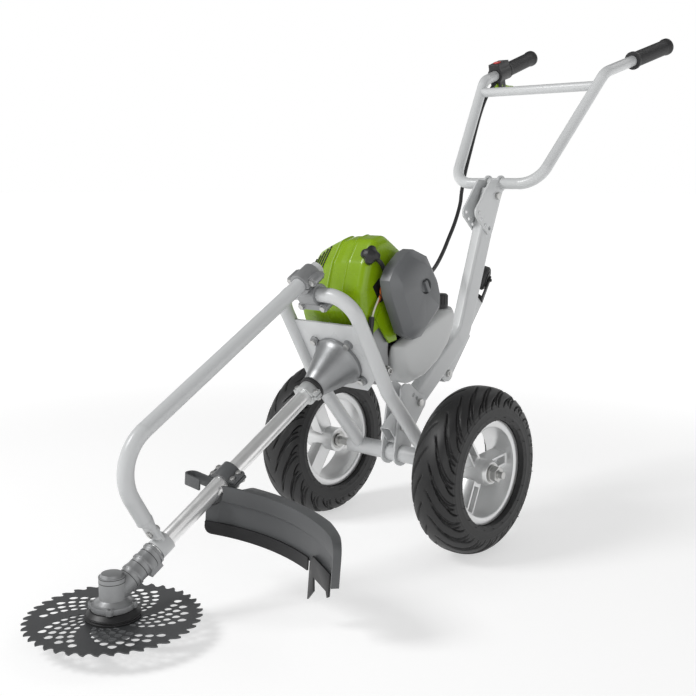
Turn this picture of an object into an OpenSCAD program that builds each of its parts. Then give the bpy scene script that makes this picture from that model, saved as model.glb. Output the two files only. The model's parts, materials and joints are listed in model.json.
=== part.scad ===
// Wheeled brush cutter: a two-wheel frame that carries a small engine, a sloping
// drive shaft, a saw-tooth blade, a front guard hoop and a tilting push handle.
// Millimetres, +Z up. The origin is on the ground under the blade spindle,
// +Y runs back towards the operator and +X is the operator's left.

/* [Wheels] */
// Outer diameter of the tyre
tyre_d = 295; // [270:1:310]
// Width of the tyre
tyre_w = 84; // [78:1:88]
// Diameter over the rim flanges
rim_d = 184; // [170:1:190]
// Width over the rim flanges
rim_w = 61; // [54:1:64]
// Distance between the two wheel centres
track_w = 358; // [330:1:380]
// Diameter of the axle rod
axle_d = 15; // [12:1:17]
// Diameter of the turned ends of the axle rod
axle_end_d = 12; // [8:1:12]
// Length of the turned ends of the axle rod
axle_end_l = 8; // [6:1:12]
// Diameter of the wheel hub
hub_d = 46; // [42:1:54]
// Outer diameter of the hub bearings
bearing_d = 35; // [32:1:37]
// Number of cast spokes
spoke_count = 3; // [3:1:5]
// Number of tread grooves on each side of a tyre
tread_count = 20; // [12:1:24]

/* [Cutter] */
// Diameter over the saw teeth
blade_d = 255; // [230:1:260]
// Thickness of the blade
blade_t = 2; // [1.4:0.2:3]
// Number of saw teeth
blade_teeth = 40; // [30:1:48]
// Height of the blade above the ground
blade_rise = 29; // [24:1:34]
// Diameter of the blade's centre hole
arbor_d = 25.4; // [20:0.2:26]
// Diameter of the holder above the blade
holder_d = 80; // [70:1:84]
// Diameter of the cutter spindle
spindle_d = 12; // [10:1:13]

/* [Drive] */
// Angle of the drive shaft above the ground
shaft_tilt = 30; // [28:0.5:32]
// Outer diameter of the shaft tube
shaft_d = 26; // [24:1:28]
// Wall of the shaft tube
shaft_wall = 1.6; // [1.2:0.1:2.4]
// Diameter of the inner drive shaft
drive_d = 8; // [7:0.5:10]
// Height at which the drive shaft meets the spindle
gear_rise = 62; // [60:1:66]
// Distance along the shaft from the spindle to the engine plate
plate_t = 560; // [550:1:570]
// Outer diameter of the clutch drum
drum_d = 50; // [44:1:52]

/* [Frame] */
// Distance from the spindle back to the wheel axle
axle_y = 637; // [620:1:650]
// Outer diameter of the tube round the axle
axle_tube_d = 32; // [30:1:36]
// Length of the tube round the axle
axle_tube_l = 214; // [200:1:230]
// Outer diameter of the yoke and hoop tubes
frame_d = 25; // [22:0.5:27]
// Wall of the yoke and hoop tubes
frame_wall = 2; // [1.5:0.1:3]
// Distance between the two yoke legs
yoke_w = 164; // [156:1:176]
// Height of the yoke's top bar above the shaft
yoke_top = 137; // [132:1:142]
// Height of the guard hoop above the shaft
hoop_rise = 167; // [164:1:172]
// Bend radius of the guard hoop
hoop_bend = 72; // [60:1:80]
// Distance along the shaft from the spindle to the hoop's foot
hoop_foot = 100; // [98:1:110]
// Distance along the shaft to the hoop's upper end
hoop_end = 592; // [585:1:600]
// Thickness of the engine plate
plate_h = 4; // [3:0.5:6]

/* [Debris guard] */
// Radius of the guard wall's inner face
guard_r = 267; // [260:1:275]
// Wall of the guard
guard_wall = 3; // [2:0.5:4]
// Height of the guard's top above the ground
guard_top = 187; // [183:1:190]
// Height of the guard wall's lower edge
guard_low = 120; // [112:1:126]
// Depth of the lip along the guard's top
guard_lip = 24; // [18:1:28]
// Width of the flange behind the guard's top
guard_flange = 16; // [10:1:18]
// Angle of the guard about the shaft, with the longer end down
guard_roll = 5.7; // [4:0.1:7]

/* [Mast and handle] */
// Width of the mast tube
mast_w = 25; // [22:1:30]
// Depth of the mast tube
mast_d = 40; // [36:1:42]
// Wall of the mast tube
mast_wall = 2; // [1.5:0.1:3]
// Height of the mast pivot above the axle
mast_pivot = 50; // [48:1:54]
// Angle of the lower mast above the ground
mast_low_tilt = 37; // [35:0.5:40]
// Length of the lower mast from its pivot to the bend
mast_low = 250; // [244:1:262]
// Angle of the upper mast above the ground
mast_up_tilt = 70.5; // [68:0.5:73]
// Length of the upper mast from the bend to the handle pivot
mast_up = 284; // [270:1:300]
// Thickness of the bracket plates
bracket_t = 4; // [3:0.5:5]
// Diameter of the pivot bolts
pivot_d = 8; // [6:1:9]
// Outer diameter of the handle tube
handle_d = 22; // [20:0.5:24]
// Wall of the handle tube
handle_wall = 1.6; // [1.2:0.1:2.4]
// Outer diameter of the hand grips
grip_d = 32; // [30:1:36]
// Length of the hand grips
grip_l = 135; // [120:1:140]

/* [Engine] */
// Radius of the recoil starter housing
starter_r = 58; // [54:1:60]
// Half width of the fuel tank
tank_w = 76; // [70:1:80]
// Diameter of the fuel cap
cap_d = 32; // [28:1:36]
// Height of the engine shroud above the shaft
shroud_top = 172; // [168:1:180]
// Wall of the engine shroud
shroud_wall = 3; // [2:0.5:4]
// Distance of the air filter cover's face from the middle
filter_x = 112; // [106:1:118]

/* [Stand] */
// Width of the square stand leg
leg_w = 25; // [20:1:28]
// Length of the stand leg from its pivot to its end
leg_l = 176; // [168:1:182]
// Diameter of the caster wheel
caster_d = 49; // [44:1:52]

/* [Hidden] */
$fn = 64;
// Clearance of a running shaft or pin in its bore, on the radius
run = 0.05;
// Clearance between pieces that move past each other
slack = 0.3;
// Clearance between fixed pieces that only sit together
seat = 0.1;
// Overshoot of cutting shapes
cut = 1;
// Extra size of a bend over its straights, and how far the straights reach into it
lap = 0.15;
lap_l = 0.5;

axle_z = tyre_d / 2;
hub_in = 38;
hub_out = 37;
half_track = track_w / 2;
rim_seat = rim_d / 2 - 7;
rim_wall = 6;
flange_t = 3.5;
tyre_r = tyre_w / 2;
tyre_mid = tyre_d / 2 - tyre_r;
tyre_skin = 8;
tyre_square = 0.8;
tread_d = 7;
tread_from = 8;
tread_to = 34;
tread_sweep = 24;

blade_top = blade_rise + blade_t;
holder_h = 13;
case_low = blade_top + holder_h + 0.6;
case_d = 38;
case_top = gear_rise + 30;
neck_d = 34;
neck_l = 88;
tube_from = 46;
gear_tilt = 35;
pinion_tilt = 90 - shaft_tilt - gear_tilt;
cone_from = 17;
cone_to = 26;
mesh_gap = 0.4;

nose_t = plate_t - 75;
ring_l = 10;
collar_l = 17;
tube_to = nose_t + 20;
bush_to = tube_to + 7;
plate_w = yoke_w / 2 - frame_d / 2;
plate_up = 78;
plate_down = 62;
plate_bolt = 38;
yoke_bend = 45;
knee_h = -60;

// One saw tooth as fraction of the pitch and depth below the tip
tooth_shape = [[0, 0], [0.05, 1.2], [0.16, 6], [0.3, 8.8], [0.46, 8.4], [0.68, 5.4]];

// Cross clamp: its half width, and its bolts as distance from the middle and height above the shaft
clamp_reach = frame_d / 2 + 6;
clamp_bolts = [for (i = [-1, 1], h = [yoke_top - clamp_reach - 1, hoop_rise + 2]) [i * (clamp_reach + 6), h]];

// Debris guard: centre of its wall, its short end, the angles of its ends, its rounded corner,
// and where its flange stops beside the clamp on the shaft
guard_mid = [120, -45, 0];
guard_left = -14;
guard_from = 56;
guard_to = 120;
guard_clear = 107;
guard_corner = 24;
clamp_d = shaft_d + 12;
bracket_at = 256;
bracket_y = bracket_at * cos(shaft_tilt);

pivot_y = axle_y;
pivot_z = axle_z + mast_pivot;
mast_pivot_at = [0, pivot_y, pivot_z];
mast_knee = mast_pivot_at + mast_low * [0, cos(mast_low_tilt), sin(mast_low_tilt)];
handle_pivot = mast_knee + mast_up * [0, cos(mast_up_tilt), sin(mast_up_tilt)];
mast_tail = 24;
mast_bend = 60;
mast_edge = 6;
mast_head = 10;
plate_in = mast_w / 2 + slack;
lock_r = 64;
lock_step = 11;
handle_lock_r = 68;
handle_step = 14;
handle_lock_dir = 249;

// Handle points, measured from the handle pivot and mirrored for the other side
bar_at = handle_pivot + [0, 15, 24];
bar_half = 98;
handle_bend = 48;
arm_top = bar_at + [145, 167, 219];
grip_dir = [0.096, 0.952, 0.291] / norm([0.096, 0.952, 0.291]);
arm_end = arm_top + 232 * grip_dir;
grip_from = arm_end - (grip_l - 3) * grip_dir;
arm_dir = (arm_top - bar_at - [bar_half, 0, 0]) / norm(arm_top - bar_at - [bar_half, 0, 0]);
cross_at = arm_top - 34 * arm_dir;

// Switch housing on the operator's right arm, measured back along the grip
housing_l = 50;
housing_d = 36;
trigger_pin = 4;

// Stand leg pivot, measured from the mast knee, and the leg's stored direction
leg_tilt = 50;
leg_lock = 84;
leg_pivot = mast_knee + [0, -26, -77];
leg_x = -mast_w / 2 - 1 - leg_w / 2;
leg_end = [leg_x, leg_pivot.y + leg_l * cos(leg_tilt), leg_pivot.z + leg_l * sin(leg_tilt)];
caster_turn = 28;
caster_trail = 18;
caster_drop = 44;

// Engine, as distances behind the plate: crankcase, cylinder and starter
crank_d = 88;
crank_l = 122;
barrel_at = 96;
barrel_low = crank_d / 2 + seat;
barrel_h = 84;
barrel_d = 50;
fin_w = 41;
starter_at = plate_h / 2 + crank_l + seat;
starter_l = 60;
carb_at = barrel_at + 17;

// Side outline of the shroud as distance behind the plate and height above the shaft,
// drawn through the centres of its rounded edges, and the two ends across the machine
shroud_edge = 9;
shroud_outline = [[33, 0], [39, 78], [57, 107], [90, 139], [125, shroud_top - 15], [146, shroud_top - 21],
                  [168, 108], [170, 40]];
shroud_left = 52;
shroud_right = -84;
shroud_low = 36;
shroud_back_low = 68;

// Spark plug: foot on the cylinder head, place of the rubber boot and the way that it points
plug_dir = [0.707, -0.325, 0.629];
plug_at = [shroud_left, 100, shroud_top - 27.6] + (shroud_edge + 2) * plug_dir;
plug_root = [8, barrel_at + 6, barrel_low + barrel_h + 6 + seat];

// Outline of the air filter cover, as distance behind the plate and height above the shaft
filter_outline = [[70, 14], [74, 88], [82, 114], [102, 126], [140, 131], [160, 127], [186, 96],
                  [191, 44], [186, 18], [172, -4], [140, -10], [106, -17], [84, -8]];
filter_mid = [130, 58];
filter_knob_at = [146, 62];
filter_in = 76;
filter_step = 22;

// Side outline of the fuel tank in the same terms
tank_outline = [[66, -12], [54, -42], [52, -76], [68, -99], [102, -109], [150, -110], [196, -99],
                [238, -72], [246, -55], [232, -40], [190, -34], [110, -20]];
tank_edge = 14;
cap_at = [52, 224, -38];

// Throttle cable points, from the switch housing down to the carburettor
cable_d = 8;
cable_pts = [[-150, 1163, 857], [-152, 1138, 831], [-147, 1105, 790], [-130, 1052, 722], [-112, 1002, 660],
             [-94, 966, 622], [-84, 948, 600], [-75, 925, 575], [-66, 900, 553], [-58, 875, 533],
             [-44, 838, 508], [-28, 796, 486], [-6, 748, 474], [18, 700, 468], [40, 650, 465], [57, 606, 464],
             [66, 578, 474], [68, 562, 479]];
cable_steps = 3;
// Points of the cable at which it passes from the handle to the mast and to the engine
cable_handle = 6;
cable_mast = 9;

// Vectors and frames

function unit(v) = v / norm(v);
function side_of(dir) = unit(cross(dir, abs(dir.z) > 0.97 ? [0, 1, 0] : [0, 0, 1]));
function columns(x, y, z, at) = [[x.x, y.x, z.x, at.x], [x.y, y.y, z.y, at.y],
                                 [x.z, y.z, z.z, at.z], [0, 0, 0, 1]];
function step_dir(p, i) = unit(p[i + 1] - p[i]);
function bend_angle(p, i) = acos(min(1, step_dir(p, i - 1) * step_dir(p, i)));
function bend_cut(p, r, i) = i <= 0 || i >= len(p) - 1 ? 0 : r * tan(bend_angle(p, i) / 2);
function mirror_x(v) = [-v.x, v.y, v.z];

// Shaft frame: Y runs up the drive shaft from the spindle, Z stands square to it
module on_shaft(t = 0) {
    translate([0, 0, gear_rise]) rotate([shaft_tilt, 0, 0]) translate([0, t, 0]) children();
}
// Engine frame: origin where the shaft passes through the engine plate
module on_engine() {
    on_shaft(plate_t) children();
}
// A place whose Z axis runs along dir
module aimed(at, dir) {
    multmatrix(columns(cross(side_of(dir), dir), side_of(dir), dir, at)) children();
}
// Round bar along X, centred
module x_bar(d, l) {
    rotate([0, 90, 0]) cylinder(h = l, d = d, center = true);
}
// Round bar along Y, from the origin backwards
module y_bar(d, l) {
    rotate([-90, 0, 0]) cylinder(h = l, d = d);
}
// Hexagon bar along Z
module hex(w, h) {
    cylinder(h = h, d = w / cos(30), $fn = 6);
}

// Sections and sweeps

module round_rect(a, b, r) {
    square([a - 2 * r, b], center = true);
    square([a, b - 2 * r], center = true);
    for (i = [-1, 1], j = [-1, 1]) translate([i * (a / 2 - r), j * (b / 2 - r)]) circle(r);
}
module box_section(a, b, wall, r) {
    difference() {
        round_rect(a, b, r);
        round_rect(a - 2 * wall, b - 2 * wall, r - wall);
    }
}
// Sweep a section along a line of points with bends of radius r. The first child is the
// section of the straights, the second that of the bends, a hair larger so that they lap
module swept(p, r) {
    last = len(p) - 1;
    for (i = [0 : last - 1]) {
        dir = step_dir(p, i);
        from = p[i] + dir * (bend_cut(p, r, i) - (i > 0 ? lap_l : 0));
        to = p[i + 1] - dir * (bend_cut(p, r, i + 1) - (i + 1 < last ? lap_l : 0));
        aimed(from, dir) linear_extrude(norm(to - from)) children(0);
    }
    for (i = [1 : len(p) - 2]) {
        a = step_dir(p, i - 1);
        b = step_dir(p, i);
        inward = unit(b - (a * b) * a);
        centre = p[i] - a * bend_cut(p, r, i) + inward * r;
        multmatrix(columns(-inward, a, cross(-inward, a), centre))
            rotate_extrude(angle = bend_angle(p, i)) translate([r, 0]) children(1);
    }
}
module swept_rod(p, r, d) {
    swept(p, r) {
        circle(d = d);
        circle(d = d + 2 * lap);
    }
}
// The same points with both ends drawn out, for a bore that runs through
function drawn_out(p) = let (n = len(p) - 1)
    [for (i = [0 : n]) i == 0 ? p[0] - cut * step_dir(p, 0)
                     : i == n ? p[n] + cut * step_dir(p, n - 1) : p[i]];
module swept_tube(p, r, d, wall) {
    difference() {
        swept_rod(p, r, d);
        swept_rod(drawn_out(p), r, d - 2 * wall);
    }
}
// Smooth cord as one closed skin of rings along a line of points
function cord_dir(p, i) = unit(p[min(i + 1, len(p) - 1)] - p[max(i - 1, 0)]);
function cord_ring(p, i, d, n) =
    let (dir = cord_dir(p, i), s = side_of(dir), u = cross(s, dir))
    [for (k = [0 : n - 1]) p[i] + d / 2 * (s * cos(360 * k / n) + u * sin(360 * k / n))];
// Points of a smooth curve through the hand-chosen points, n steps to each span
function curve_at(p, i, f) =
    let (a = p[max(i - 1, 0)], b = p[i], c = p[i + 1], e = p[min(i + 2, len(p) - 1)])
    0.5 * (2 * b + (c - a) * f + (2 * a - 5 * b + 4 * c - e) * f * f
           + (3 * b - a - 3 * c + e) * f * f * f);
function curve(p, n) = concat([for (i = [0 : len(p) - 2], k = [0 : n - 1]) curve_at(p, i, k / n)],
                              [p[len(p) - 1]]);
// Rings from..to of the curve p as one closed skin
module cord(p, from, to, d, sides = 10) {
    last = to - from;
    points = [for (i = [from : to]) each cord_ring(p, i, d, sides)];
    skin = [for (i = [0 : last - 1], k = [0 : sides - 1])
            let (a = i * sides + k, b = i * sides + (k + 1) % sides)
            each [[a, b, b + sides], [a, b + sides, a + sides]]];
    ends = [for (k = [1 : sides - 2]) each [[0, k + 1, k],
            [last * sides, last * sides + k, last * sides + k + 1]]];
    polyhedron(points, concat(skin, ends));
}

// Wheels

module wheel_place(side) {
    translate([side * half_track, axle_y, axle_z]) rotate([0, side * 90, 0]) children();
}
// Squarish round tyre section of half width a, in steps of 9 degrees
function power(v, p) = sign(v) * pow(abs(v), p);
function tyre_outline(a) = [for (q = [0 : 9 : 351]) [tyre_mid, 0] + a * [power(cos(q), tyre_square),
                                                                        power(sin(q), tyre_square)]];
// Radius of the tread at the distance z from the tyre's middle
function tread_r(z) = tyre_mid + tyre_r * pow(1 - pow(abs(z) / tyre_r, 2 / tyre_square), tyre_square / 2);
module tyre_section() {
    bead_in = rim_w / 2 - flange_t - 8;
    bead_out = rim_w / 2 - flange_t - seat;
    flange_r = rim_d / 2 + 1;
    difference() {
        polygon(tyre_outline(tyre_r));
        intersection() {
            polygon(tyre_outline(tyre_r - tyre_skin));
            translate([flange_r + 8, -tyre_w]) square([tyre_d, 2 * tyre_w]);
        }
        translate([0, -bead_in]) square([flange_r + 9, 2 * bead_in]);
        translate([0, -tyre_w]) square([rim_seat, 2 * tyre_w]);
        translate([0, bead_out]) square([flange_r, tyre_w]);
        translate([0, -bead_out - tyre_w]) square([flange_r, tyre_w]);
    }
}
// Slanting groove across one shoulder of the tread
module tread_groove() {
    from = [tread_r(tread_from) + tread_d / 2, -tread_sweep / 2, tread_from];
    to = [tread_r(tread_to) + tread_d / 2, tread_sweep / 2, tread_to];
    aimed(from, unit(to - from)) cylinder(h = norm(to - from), d = tread_d);
}
module tyre() {
    color([0.09, 0.09, 0.09]) difference() {
        rotate_extrude() tyre_section();
        for (k = [0 : tread_count - 1], s = [0, 1]) rotate(360 * (k + s / 2) / tread_count)
            mirror([0, 0, s]) tread_groove();
    }
}
module spoke() {
    root = hub_d / 2 - 3;
    tip = rim_seat - rim_wall + 2;
    difference() {
        rotate([90, 0, 90]) translate([0, 0, root]) linear_extrude(tip - root)
            polygon([[-15, -14], [15, -14], [11, 14], [-11, 14]]);
        translate([root + 9, -7, -3]) cube([tip - root - 16, 14, 30]);
    }
}
module rim() {
    color([0.72, 0.72, 0.71]) difference() {
        union() {
            rotate_extrude() polygon([
                [rim_seat - rim_wall, -rim_w / 2 + 2], [rim_seat - rim_wall, rim_w / 2 - 2],
                [rim_seat - 2, rim_w / 2], [rim_d / 2, rim_w / 2], [rim_d / 2, rim_w / 2 - flange_t],
                [rim_seat, rim_w / 2 - flange_t], [rim_seat, -rim_w / 2 + flange_t],
                [rim_d / 2, -rim_w / 2 + flange_t], [rim_d / 2, -rim_w / 2], [rim_seat - 2, -rim_w / 2]]);
            translate([0, 0, -hub_in]) cylinder(h = hub_in + hub_out - 8, d = hub_d);
            translate([0, 0, hub_out - 8]) cylinder(h = 8, d1 = hub_d, d2 = hub_d - 8);
            for (k = [0 : spoke_count - 1]) rotate([0, 0, 360 * k / spoke_count - 25]) spoke();
        }
        translate([0, 0, -hub_in - cut]) cylinder(h = hub_in + hub_out + 2 * cut, d = axle_d + 8);
        translate([0, 0, -hub_in - cut]) cylinder(h = 12 + cut, d = bearing_d + 2 * seat);
        translate([0, 0, hub_out - 12]) cylinder(h = 12 + cut, d = bearing_d + 2 * seat);
    }
}
module bearings() {
    color("silver") for (z = [-hub_in, hub_out - 12]) translate([0, 0, z]) difference() {
        cylinder(h = 12, d = bearing_d);
        translate([0, 0, -cut]) cylinder(h = 12 + 2 * cut, d = axle_d + 2 * run);
        for (end = [-0.1, 11]) translate([0, 0, end]) difference() {
            cylinder(h = 1.1, d = bearing_d - 6);
            cylinder(h = 1.1, d = axle_d + 6);
        }
    }
}
module left_tyre() { wheel_place(1) tyre(); }
module left_rim() { wheel_place(1) rim(); }
module left_bearings() { wheel_place(1) bearings(); }
module right_tyre() { wheel_place(-1) tyre(); }
module right_rim() { wheel_place(-1) rim(); }
module right_bearings() { wheel_place(-1) bearings(); }

// Axle and frame

module at_axle() {
    translate([0, axle_y, axle_z]) children();
}
module axle_tube() {
    color("whitesmoke") at_axle() difference() {
        x_bar(axle_tube_d, axle_tube_l);
        x_bar(axle_d + 2 * seat, axle_tube_l + 2 * cut);
    }
}
module axle_rod() {
    color("silver") at_axle() {
        x_bar(axle_d, track_w + 2 * hub_out + 30);
        x_bar(axle_end_d, track_w + 2 * hub_out + 30 + 2 * axle_end_l);
    }
}
module axle_nuts() {
    color("silver") at_axle() for (s = [-1, 1]) {
        difference() {
            union() {
                translate([s * (half_track + hub_out + slack + 1.5), 0, 0]) x_bar(axle_d + 15, 3);
                translate([s * (half_track + hub_out + slack + 3), 0, 0]) rotate([0, s * 90, 0]) hex(24, 10);
            }
            x_bar(axle_d + 2 * seat, 2 * track_w);
        }
        difference() {
            translate([s * (half_track - hub_in - slack - 2), 0, 0]) x_bar(axle_d + 10, 4);
            x_bar(axle_d + 2 * seat, 2 * track_w);
        }
    }
}
// Yoke leg as points from the top bar's middle down to the axle
function shaft_point(x, t, h) = [x, t * cos(shaft_tilt) - h * sin(shaft_tilt),
                                 gear_rise + t * sin(shaft_tilt) + h * cos(shaft_tilt)];
module yoke_tube() {
    right = [shaft_point(yoke_w / 2, plate_t, yoke_top), shaft_point(yoke_w / 2, plate_t, knee_h),
             [yoke_w / 2, axle_y, axle_z]];
    path = concat([for (i = [2 : -1 : 0]) mirror_x(right[i])], right);
    color("whitesmoke") difference() {
        swept_tube(path, yoke_bend, frame_d, frame_wall);
        at_axle() x_bar(axle_tube_d, 2 * yoke_w);
    }
}
module engine_plate() {
    color("whitesmoke") on_engine() difference() {
        translate([-plate_w, -plate_h / 2, -plate_down]) cube([2 * plate_w, plate_h, plate_up + plate_down]);
        translate([0, -plate_h, 0]) y_bar(drum_d + 14, 2 * plate_h);
        for (i = [-1, 1], j = [-1, 1]) translate([i * plate_bolt, -plate_h, j * plate_bolt])
            y_bar(6 + 2 * seat, 2 * plate_h);
        for (i = [-1, 1]) translate([i * plate_w, 0, -plate_down]) rotate([0, 45, 0])
            cube([44, 2 * plate_h, 44], center = true);
    }
}
module arc_holes(r, from, step, count, d) {
    for (k = [0 : count - 1]) rotate(from + k * step) translate([r, 0]) circle(d = d);
}
// Side plate outline of the lower mast bracket, drawn about the mast pivot
module mast_plate_outline() {
    difference() {
        union() {
            translate([0, -mast_pivot]) circle(axle_tube_d / 2 + 7);
            polygon([[-23, -mast_pivot], [23, -mast_pivot], [42, 0], [64, 26], [66, 44], [22, 78], [-2, 72]]);
            translate([54, 38]) circle(16);
            translate([10, 66]) circle(14);
        }
        translate([0, -mast_pivot]) circle(d = axle_tube_d + 2 * seat);
        circle(d = pivot_d + 2 * run);
        arc_holes(lock_r, mast_low_tilt, lock_step, 3, pivot_d + 2 * run);
    }
}
module side_plate(x, at) {
    translate([x, at.y, at.z]) rotate([90, 0, 90]) linear_extrude(bracket_t) children();
}
module mast_bracket() {
    color("whitesmoke") for (x = [plate_in, -plate_in - bracket_t])
        side_plate(x, mast_pivot_at) mast_plate_outline();
}
module clutch_housing() {
    color([0.62, 0.63, 0.62]) on_shaft() difference() {
        union() {
            hull() {
                translate([0, nose_t, 0]) y_bar(shaft_d + 16, 3, $fn = 32);
                for (i = [-1, 1], j = [-1, 1]) translate([i * 20, plate_t - plate_h / 2 - 6, j * 20])
                    y_bar(50, 6, $fn = 32);
            }
            for (i = [-1, 1], j = [-1, 1])
                translate([i * plate_bolt, plate_t - plate_h / 2 - 6, j * plate_bolt])
                y_bar(16, 6);
        }
        translate([0, nose_t - cut, 0]) y_bar(shaft_d + 2 * seat, tube_to - nose_t + cut + seat);
        translate([0, nose_t, 0]) y_bar(drive_d + 2 * run, 60);
        translate([0, bush_to, 0]) y_bar(drum_d + 3, 80);
        for (i = [-1, 1], j = [-1, 1])
            translate([i * plate_bolt, plate_t - plate_h / 2 - 6, j * plate_bolt]) {
            translate([0, -cut, 0]) y_bar(6 + 2 * seat, 30);
            translate([0, -40, 0]) y_bar(14, 40);
        }
    }
}
module mount_ring() {
    color([0.1, 0.1, 0.1]) on_shaft(nose_t - ring_l) difference() {
        union() {
            y_bar(shaft_d + 18, ring_l - 3);
            y_bar(shaft_d + 12, ring_l);
        }
        translate([0, -cut, 0]) y_bar(shaft_d + 2 * seat, ring_l + 2 * cut);
    }
}
module shaft_collar() {
    color([0.66, 0.66, 0.65]) on_shaft(nose_t - ring_l - collar_l) difference() {
        union() {
            y_bar(shaft_d + 11, collar_l);
            for (i = [-1, 1]) translate([i * (shaft_d / 2 + 6), collar_l / 2, 0])
                cube([12, collar_l - 4, 13], center = true);
        }
        translate([0, -cut, 0]) y_bar(shaft_d + 2 * seat, collar_l + 2 * cut);
        translate([0, -cut, -0.8]) cube([40, collar_l + 2 * cut, 1.6]);
        for (i = [-1, 1]) translate([i * (shaft_d / 2 + 8.5), collar_l / 2, -20]) cylinder(h = 40, d = 4.4);
    }
}
module shaft_tube() {
    color("gainsboro") on_shaft(tube_from) difference() {
        y_bar(shaft_d, tube_to - tube_from);
        translate([0, -cut, 0]) y_bar(shaft_d - 2 * shaft_wall, tube_to - tube_from + 2 * cut);
    }
}

// Gear head and cutter

module gear_case() {
    color([0.62, 0.63, 0.63]) difference() {
        union() {
            translate([0, 0, case_low]) cylinder(h = case_top - case_low, d = case_d);
            translate([0, 0, case_top]) cylinder(h = 4, d1 = case_d - 4, d2 = case_d - 8);
            translate([0, 0, case_low]) cylinder(h = 8, r = 31);
            translate([0, 0, case_low + 8]) cylinder(h = 6, r1 = 28, r2 = case_d / 2);
            for (a = [45 : 90 : 315]) rotate([0, 0, a]) translate([29, 0, case_low]) cylinder(h = 9, r = 6);
            on_shaft() y_bar(neck_d, neck_l);
            for (t = [40, 62, 84]) on_shaft(t) y_bar(neck_d + 3, 4);
            on_shaft(neck_l - 14) translate([0, 0, -neck_d / 2]) cube([16, 24, 14], center = true);
            on_shaft(52) translate([-neck_d / 2 - 1, 0, 0]) x_bar(11, 8);
        }
        translate([0, 0, -cut]) cylinder(h = case_low + 40, d = spindle_d + 2 * run);
        translate([0, 0, gear_rise + 8])
            cylinder(h = case_top - gear_rise - 11, r = cone_to * sin(gear_tilt) + 1.5);
        on_shaft(2) y_bar(2 * cone_to * sin(pinion_tilt) + 5, 27);
        on_shaft() y_bar(drive_d + 2 * run, neck_l);
        on_shaft(tube_from - seat) y_bar(shaft_d + 2 * seat, neck_l);
        on_shaft(neck_l - 26) translate([-0.8, 0, -40]) cube([1.6, 40, 30]);
        for (a = [45 : 90 : 315]) rotate([0, 0, a]) translate([30, 0, case_low + 4]) cylinder(h = 10, d = 4);
    }
}
module leaf(l, w) {
    r = (l * l + w * w) / (4 * w);
    intersection() {
        translate([0, r - w / 2]) circle(r);
        translate([0, w / 2 - r]) circle(r);
    }
}
module saw_blade() {
    pitch = 360 / blade_teeth;
    outline = [for (k = [0 : blade_teeth - 1], s = tooth_shape)
               let (a = (k + s[0]) * pitch, r = blade_d / 2 - s[1]) [r * cos(a), r * sin(a)]];
    first = holder_d / 2 + 7;
    rows = 6;
    row_gap = (blade_d / 2 - 27 - first) / (rows - 1);
    color([0.36, 0.37, 0.38]) translate([0, 0, blade_rise]) linear_extrude(blade_t) difference() {
        polygon(outline);
        circle(d = arbor_d + 2 * seat);
        for (g = [0 : 4], row = [0 : rows - 1], k = [0 : 3])
            rotate(72 * g + 7 * row + 13.5 * k) translate([first + row_gap * row, 0])
                rotate(38) leaf(7 + 1.9 * row, 4.2 + 1.05 * row);
    }
}
module blade_holder() {
    color([0.08, 0.08, 0.08]) difference() {
        union() {
            translate([0, 0, blade_top]) cylinder(h = 7, d = holder_d);
            translate([0, 0, blade_top + 7])
                cylinder(h = holder_h - 7, d1 = holder_d - 3, d2 = holder_d - 15);
            translate([0, 0, blade_rise]) cylinder(h = blade_t + 1, d = arbor_d);
        }
        cylinder(h = 100, d = spindle_d + 2 * seat);
        translate([0, 0, blade_top + 3]) difference() {
            cylinder(h = 2, d = holder_d + 4);
            cylinder(h = 2, d = holder_d - 3);
        }
    }
}
module spindle() {
    gear_low = gear_rise + cone_from * cos(gear_tilt);
    gear_high = gear_rise + cone_to * cos(gear_tilt);
    color("silver") {
        translate([0, 0, 10]) cylinder(h = gear_high + 4 - 10, d = spindle_d);
        translate([0, 0, gear_low])
            cylinder(h = gear_high - gear_low, r1 = cone_from * sin(gear_tilt) - mesh_gap,
            r2 = cone_to * sin(gear_tilt) - mesh_gap);
    }
}
module ground_cup() {
    color([0.3, 0.3, 0.3]) difference() {
        rotate_extrude() polygon([[0, 0], [18, 0], [26, 3], [32, 9], [35, 17], [35, blade_rise - 4],
            [27, blade_rise], [0, blade_rise]]);
        translate([0, 0, 10 - seat]) cylinder(h = 40, d = spindle_d + 2 * seat);
        for (a = [0 : 60 : 300]) rotate([0, 0, a]) translate([36, 0, 8]) cylinder(h = 40, r = 5);
    }
}
module drive_shaft() {
    from = cone_from * cos(pinion_tilt);
    to = cone_to * cos(pinion_tilt);
    color("silver") on_shaft() {
        translate([0, from, 0]) rotate([-90, 0, 0]) cylinder(h = to - from,
            r1 = cone_from * sin(pinion_tilt) - mesh_gap, r2 = cone_to * sin(pinion_tilt) - mesh_gap);
        translate([0, from, 0]) y_bar(drive_d, bush_to + 22 - from);
    }
}
module clutch_drum() {
    color("gray") on_shaft(bush_to + slack) difference() {
        y_bar(drum_d, 24);
        translate([0, 5, 0]) y_bar(drum_d - 6, 24);
        translate([0, -cut, 0]) y_bar(drive_d + 2 * seat, 40);
    }
}

// Front guard hoop and clamps

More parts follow.
